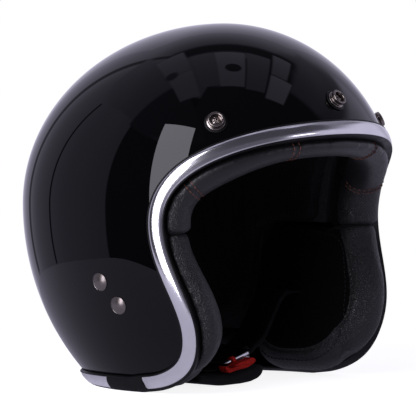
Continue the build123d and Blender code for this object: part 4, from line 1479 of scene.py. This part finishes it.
def make_tab():
    outline = closed_curve(tab_outline, 90)
    inner = -ring_side - ring_wire_radius - 0.25
    levels = [(0.0, 0.5), (0.15, 0.2), (0.5, 0.0)]
    levels += [(distance, 0.0) for distance in np.linspace(1.2, tab_width - 1.2, 6)]
    levels += [(tab_width - 0.5, 0.0), (tab_width - 0.15, 0.2), (tab_width, 0.5)]
    levels = [(-distance, drawn) for distance, drawn in levels]
    points, faces = slab(outline, levels, inner)
    place = ring_spot(17.8, 0)
    way = np.array([-math.cos(ring_slope), 0.0, -math.sin(ring_slope)])
    profile = [(1.75, 0.0), (2.4, 0.0)] + arc((2.35, 0.2), 0.2, -90, 0, 4) + arc((2.35, 3.2), 0.2, 0, 90, 4)
    profile += [(1.75, 3.4), (1.75, 0.0)]
    sleeve = lathed(profile, np.array([place[0], -ring_side, place[1]]), way, 40)
    points, faces = joined([(points, faces), sleeve])
    tab = piece("release_ribbon", points, faces, "release_tab", 60)
    layer = tab.data.uv_layers.new(name="lengths")
    corners = np.zeros(len(tab.data.loops), int)
    tab.data.loops.foreach_get("vertex_index", corners)
    flat = mesh_points(tab)[corners]
    layer.data.foreach_set("uv", np.stack([flat[:, 1] + flat[:, 2], flat[:, 0]], axis=1).ravel())
    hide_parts("pull_tab")
    return finished(tab, "ribbon")


make_chin_pad()
make_tab()

tag_thickness = 0.6
tag_gap = 0.25


def make_tag():
    # woven tag folded over the strip, low on the wearer's right
    start = edge_length * float(np.argmax((left_edge[:, 2] < 60) & (left_edge[:, 1] > -12.0))) / half_stations
    finish_place = edge_length * float(np.argmax((left_edge[:, 2] < 60) & (left_edge[:, 1] > 21.0))) / half_stations
    foot = strip_foot + strip_crown + tag_gap
    across = np.linspace(-1, 1, 15)
    middle = (strip_start + strip_end) / 2
    reach = (strip_end - strip_start) / 2 + 0.2
    upper = [(middle + reach * turn, foot + tag_thickness - 1.3 * abs(turn) ** 2.4) for turn in across]
    lower = [(x, n - tag_thickness) for x, n in upper[::-1]]
    section = upper + lower
    count = 24
    grid = []
    for share in np.linspace(0, 1, count):
        spots = edge_frames(-(start + (finish_place - start) * share), -(start + (finish_place - start) * share), 1)
        lean = np.array([(x, n) for x, n in section])
        grid.append(edge_sweep(lean, spots)[0])
    grid = on_ground(np.array(grid))
    size = len(section)
    points = np.concatenate([grid.reshape(-1, 3), grid[0].mean(0)[None], grid[-1].mean(0)[None]])
    faces = grid_faces(count, size)
    faces += fan(count * size, list(range(size)))
    faces += fan(count * size + 1, [(count - 1) * size + spot for spot in range(size)])
    tag = piece("woven_tag", points, faces, "helmet", 60)
    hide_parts("trim_tag")
    return finished(tag, "tag")


make_tag()

# Carried-over solids get their own finish
for node, look in {
    "impact_liner": "foam", "snap_nuts": "plate", "anchor_plate_left": "plate", "anchor_plate_right": "plate",
}.items():
    finished(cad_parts[node], look)


# Studio: seen directly, or through something clear, the room is white. What shines mirrors a room with dark
# screens, pale panes and a soft box, as the lacquer shows it.
floor_glow = 0.87
floor_mirrored = 0.175
floor_radius = 0.44
room_light = 0.22
room_mirrored = 0.31
room_tint = (0.97, 0.93, 1.20)
room_zones = [
    # from azimuth, to azimuth, from elevation, to elevation, brightness, softness of the border, degrees
    (-153, -120, -16, 69, 0.35, 8.0),
    (-130.5, -58, -16, 69, 0.02, 0.8),
    (-76, 98, 27, 80, 0.05, 2.5),
    (-66, 4, -16, 32, 0.10, 3.0),
    (-64, -46, -14, 4, 0.30, 4.0),
    (45, 102, 27, 52, 0.18, 5.0),
    (27, 100, -16, 28, 0.60, 3.0),
    (104, 164, -16, 59, 0.27, 4.0),
    (100, 168, -16, 50, 0.46, 9.0),
    (112, 150, -12, 37, 0.66, 12.0),
    (162, 165.5, -10, 57, 0.12, 0.6),
    (-170.9, -169.5, -12, 36, 0.02, 0.25),
]
# The ceiling, as if one unit above the helmet and turned by ceiling_turn degrees: from and to along it, from
# and to across it, brightness, softness of the border
ceiling_turn = -46.4
ceiling_panes = [
    (-0.9, 0.9, -1.1, -0.42, 0.28, 0.03),
    (-1.2, -0.015, -1.2, -0.3, 0.07, 0.03),
    (0.40, 0.62, -0.30, 0.75, 0.05, 0.05),
    (-0.02, 1.3, 0.68, 1.5, 0.23, 0.05),
    (-0.175, 0.40, -0.172, -0.006, 0.34, 0.012),
    (-0.19, 0.395, 0.006, 0.228, 0.53, 0.012),
    (-0.215, 0.41, 0.240, 0.432, 0.33, 0.012),
    (-0.28, 0.145, -0.42, -0.198, 0.46, 0.014),
    (0.16, 0.58, -0.43, -0.198, 0.42, 0.014),
    (-0.285, 0.112, 0.455, 0.685, 0.64, 0.014),
    (0.128, 0.545, 0.455, 0.62, 0.42, 0.014),
]
# Round dark spots on it: along, across, radius, brightness, softness of the border
ceiling_spots = [(0.096, 0.130, 0.066, 0.07, 0.010), (0.168, -0.378, 0.062, 0.12, 0.022)]


def sum_of(tree, operation, first, second):
    node = tree.nodes.new("ShaderNodeMath")
    node.operation = operation
    for index, value in enumerate((first, second)):
        if isinstance(value, bpy.types.NodeSocket):
            tree.links.new(value, node.inputs[index])
        else:
            node.inputs[index].default_value = value
    return node.outputs[0]


def seen_by(tree, direct, mirrored):
    # camera and transmission rays meet one brightness, glossy rays another
    rays = tree.nodes.new("ShaderNodeLightPath")
    straight = sum_of(tree, "MAXIMUM", rays.outputs["Is Camera Ray"], rays.outputs["Is Transmission Ray"])
    return sum_of(
        tree, "MAXIMUM", sum_of(tree, "MULTIPLY", straight, direct),
        sum_of(tree, "MULTIPLY", rays.outputs["Is Glossy Ray"], mirrored),
    )


def painted(tree, ground, sides, brightness, blur):
    # lays a soft-edged patch over what is there: each side is (coordinate, from, to)
    pane = 1.0
    for place, low, high in sides:
        off = sum_of(tree, "ABSOLUTE", sum_of(tree, "SUBTRACT", place, (low + high) / 2), 0.0)
        fade = tree.nodes.new("ShaderNodeMapRange")
        fade.interpolation_type = "SMOOTHSTEP"
        tree.links.new(off, fade.inputs[0])
        half = (high - low) / 2
        fade.inputs[1].default_value = half - blur
        fade.inputs[2].default_value = half + blur
        fade.inputs[3].default_value = 1.0
        fade.inputs[4].default_value = 0.0
        pane = sum_of(tree, "MULTIPLY", pane, fade.outputs[0])
    return sum_of(tree, "ADD", ground, sum_of(tree, "MULTIPLY", pane, sum_of(tree, "SUBTRACT", brightness, ground)))


def tinted(tree, socket):
    # white for the camera, the room's tint for everything else
    shade = tree.nodes.new("ShaderNodeMix")
    shade.data_type = "RGBA"
    tree.links.new(tree.nodes.new("ShaderNodeLightPath").outputs["Is Camera Ray"], shade.inputs["Factor"])
    shade.inputs[6].default_value = (*room_tint, 1)
    shade.inputs[7].default_value = (1, 1, 1, 1)
    tree.links.new(shade.outputs[2], socket)


def make_floor():
    mesh = bpy.data.meshes.new("floor")
    turns = np.linspace(0, 2 * math.pi, 180, endpoint=False)
    rim = [(floor_radius * math.cos(turn), floor_radius * math.sin(turn), 0) for turn in turns]
    mesh.from_pydata(rim, [], [tuple(range(len(rim)))])
    floor = bpy.data.objects.new("floor", mesh)
    bpy.context.scene.collection.objects.link(floor)
    made = bpy.data.materials.new("floor_paper")
    made.use_nodes = True
    tree = made.node_tree
    shader = tree.nodes["Principled BSDF"]
    shader.inputs["Base Color"].default_value = (0.54, 0.53, 0.57, 1)
    shader.inputs["Roughness"].default_value = 0.9
    shader.inputs["Specular IOR Level"].default_value = 0.0
    glow = tree.nodes.new("ShaderNodeEmission")
    tinted(tree, glow.inputs["Color"])
    tree.links.new(seen_by(tree, floor_glow, floor_mirrored), glow.inputs["Strength"])
    both = tree.nodes.new("ShaderNodeAddShader")
    tree.links.new(shader.outputs[0], both.inputs[0])
    tree.links.new(glow.outputs[0], both.inputs[1])
    tree.links.new(both.outputs[0], tree.nodes["Material Output"].inputs["Surface"])
    mesh.materials.append(made)


def make_world():
    world = bpy.data.worlds.new("studio")
    bpy.context.scene.world = world
    world.use_nodes = True
    tree = world.node_tree
    background = tree.nodes["Background"]
    tinted(tree, background.inputs["Color"])
    way = tree.nodes.new("ShaderNodeTexCoord").outputs["Generated"]
    split = tree.nodes.new("ShaderNodeSeparateXYZ")
    tree.links.new(way, split.inputs[0])
    side, back, up = split.outputs
    turn = sum_of(tree, "ARCTAN2", side, sum_of(tree, "MULTIPLY", back, -1.0))
    turn = sum_of(tree, "MULTIPLY", turn, 180 / math.pi)
    rise = sum_of(tree, "MULTIPLY", sum_of(tree, "ARCSINE", up, 0.0), 180 / math.pi)
    mirrored = room_mirrored
    for low_turn, high_turn, low_rise, high_rise, brightness, blur in room_zones:
        sides = ((turn, low_turn, high_turn), (rise, low_rise, high_rise))
        mirrored = painted(tree, mirrored, sides, brightness, blur)
    cosine, sine = math.cos(math.radians(ceiling_turn)), math.sin(math.radians(ceiling_turn))
    height = sum_of(tree, "MAXIMUM", up, 0.4)
    spots = []
    for first, second in ((cosine, -sine), (-sine, -cosine)):
        flat = sum_of(tree, "ADD", sum_of(tree, "MULTIPLY", side, first), sum_of(tree, "MULTIPLY", back, second))
        spots.append(sum_of(tree, "DIVIDE", flat, height))
    for low_along, high_along, low_across, high_across, brightness, blur in ceiling_panes:
        sides = ((spots[0], low_along, high_along), (spots[1], low_across, high_across), (up, 0.62, 2.0))
        mirrored = painted(tree, mirrored, sides, brightness, blur)
    for along, across, radius, brightness, blur in ceiling_spots:
        shares = [sum_of(tree, "SUBTRACT", spot, place) for spot, place in zip(spots, (along, across))]
        square = sum_of(tree, "ADD", *(sum_of(tree, "MULTIPLY", share, share) for share in shares))
        off = sum_of(tree, "SQRT", square, 0.0)
        mirrored = painted(tree, mirrored, ((off, -radius, radius), (up, 0.62, 2.0)), brightness, blur)
    seen = seen_by(tree, 1.0, mirrored)
    rays = tree.nodes.new("ShaderNodeLightPath")
    scattered = sum_of(tree, "MULTIPLY", rays.outputs["Is Diffuse Ray"], room_light)
    tree.links.new(sum_of(tree, "MAXIMUM", seen, scattered), background.inputs["Strength"])


def panel(name, azimuth, elevation, distance, width, height, strength, roll=0.0):
    # soft box facing the helmet; strength is its brightness
    light = bpy.data.lights.new(name, "AREA")
    light.shape = "RECTANGLE"
    light.size = width
    light.size_y = height
    light.energy = strength * math.pi * width * height
    light.color = (0.98, 0.96, 1.08)
    lamp = bpy.data.objects.new(name, light)
    side = math.radians(azimuth)
    rise = math.radians(elevation)
    way = Vector((math.sin(side) * math.cos(rise), -math.cos(side) * math.cos(rise), math.sin(rise)))
    lamp.location = Vector((0, back_shift * MM, 0.12)) + way * distance
    lamp.rotation_euler = (way.to_track_quat("Z", "Y").to_matrix() @ Matrix.Rotation(roll, 3, "Z")).to_euler()
    bpy.context.scene.collection.objects.link(lamp)


def make_camera():
    side = math.radians(camera_azimuth)
    rise = math.radians(camera_elevation)
    right = Vector((math.cos(side), math.sin(side), 0))
    aim = right * camera_aim_side + Vector((0, 0, camera_aim_height))
    way = Vector((math.sin(side) * math.cos(rise), -math.cos(side) * math.cos(rise), math.sin(rise)))
    data = bpy.data.cameras.new("camera")
    data.lens = camera_lens
    data.sensor_width = camera_sensor
    data.clip_end = 100
    camera = bpy.data.objects.new("camera", data)
    camera.location = (aim + way * camera_distance + Vector((0, back_shift, 0))) * MM
    camera.rotation_euler = way.to_track_quat("Z", "Y").to_euler()
    bpy.context.scene.collection.objects.link(camera)
    bpy.context.scene.camera = camera


make_floor()
make_world()
panel("side_box", -82.4, 17.5, 1.6, 0.64, 1.88, 6.0)
panel("front_box", 13, 9, 2.0, 0.5, 0.34, 3.0)
panel("glow_box", 130, 24, 2.2, 1.5, 1.5, 0.1)
make_camera()
bpy.context.scene.view_settings.view_transform = "Standard"
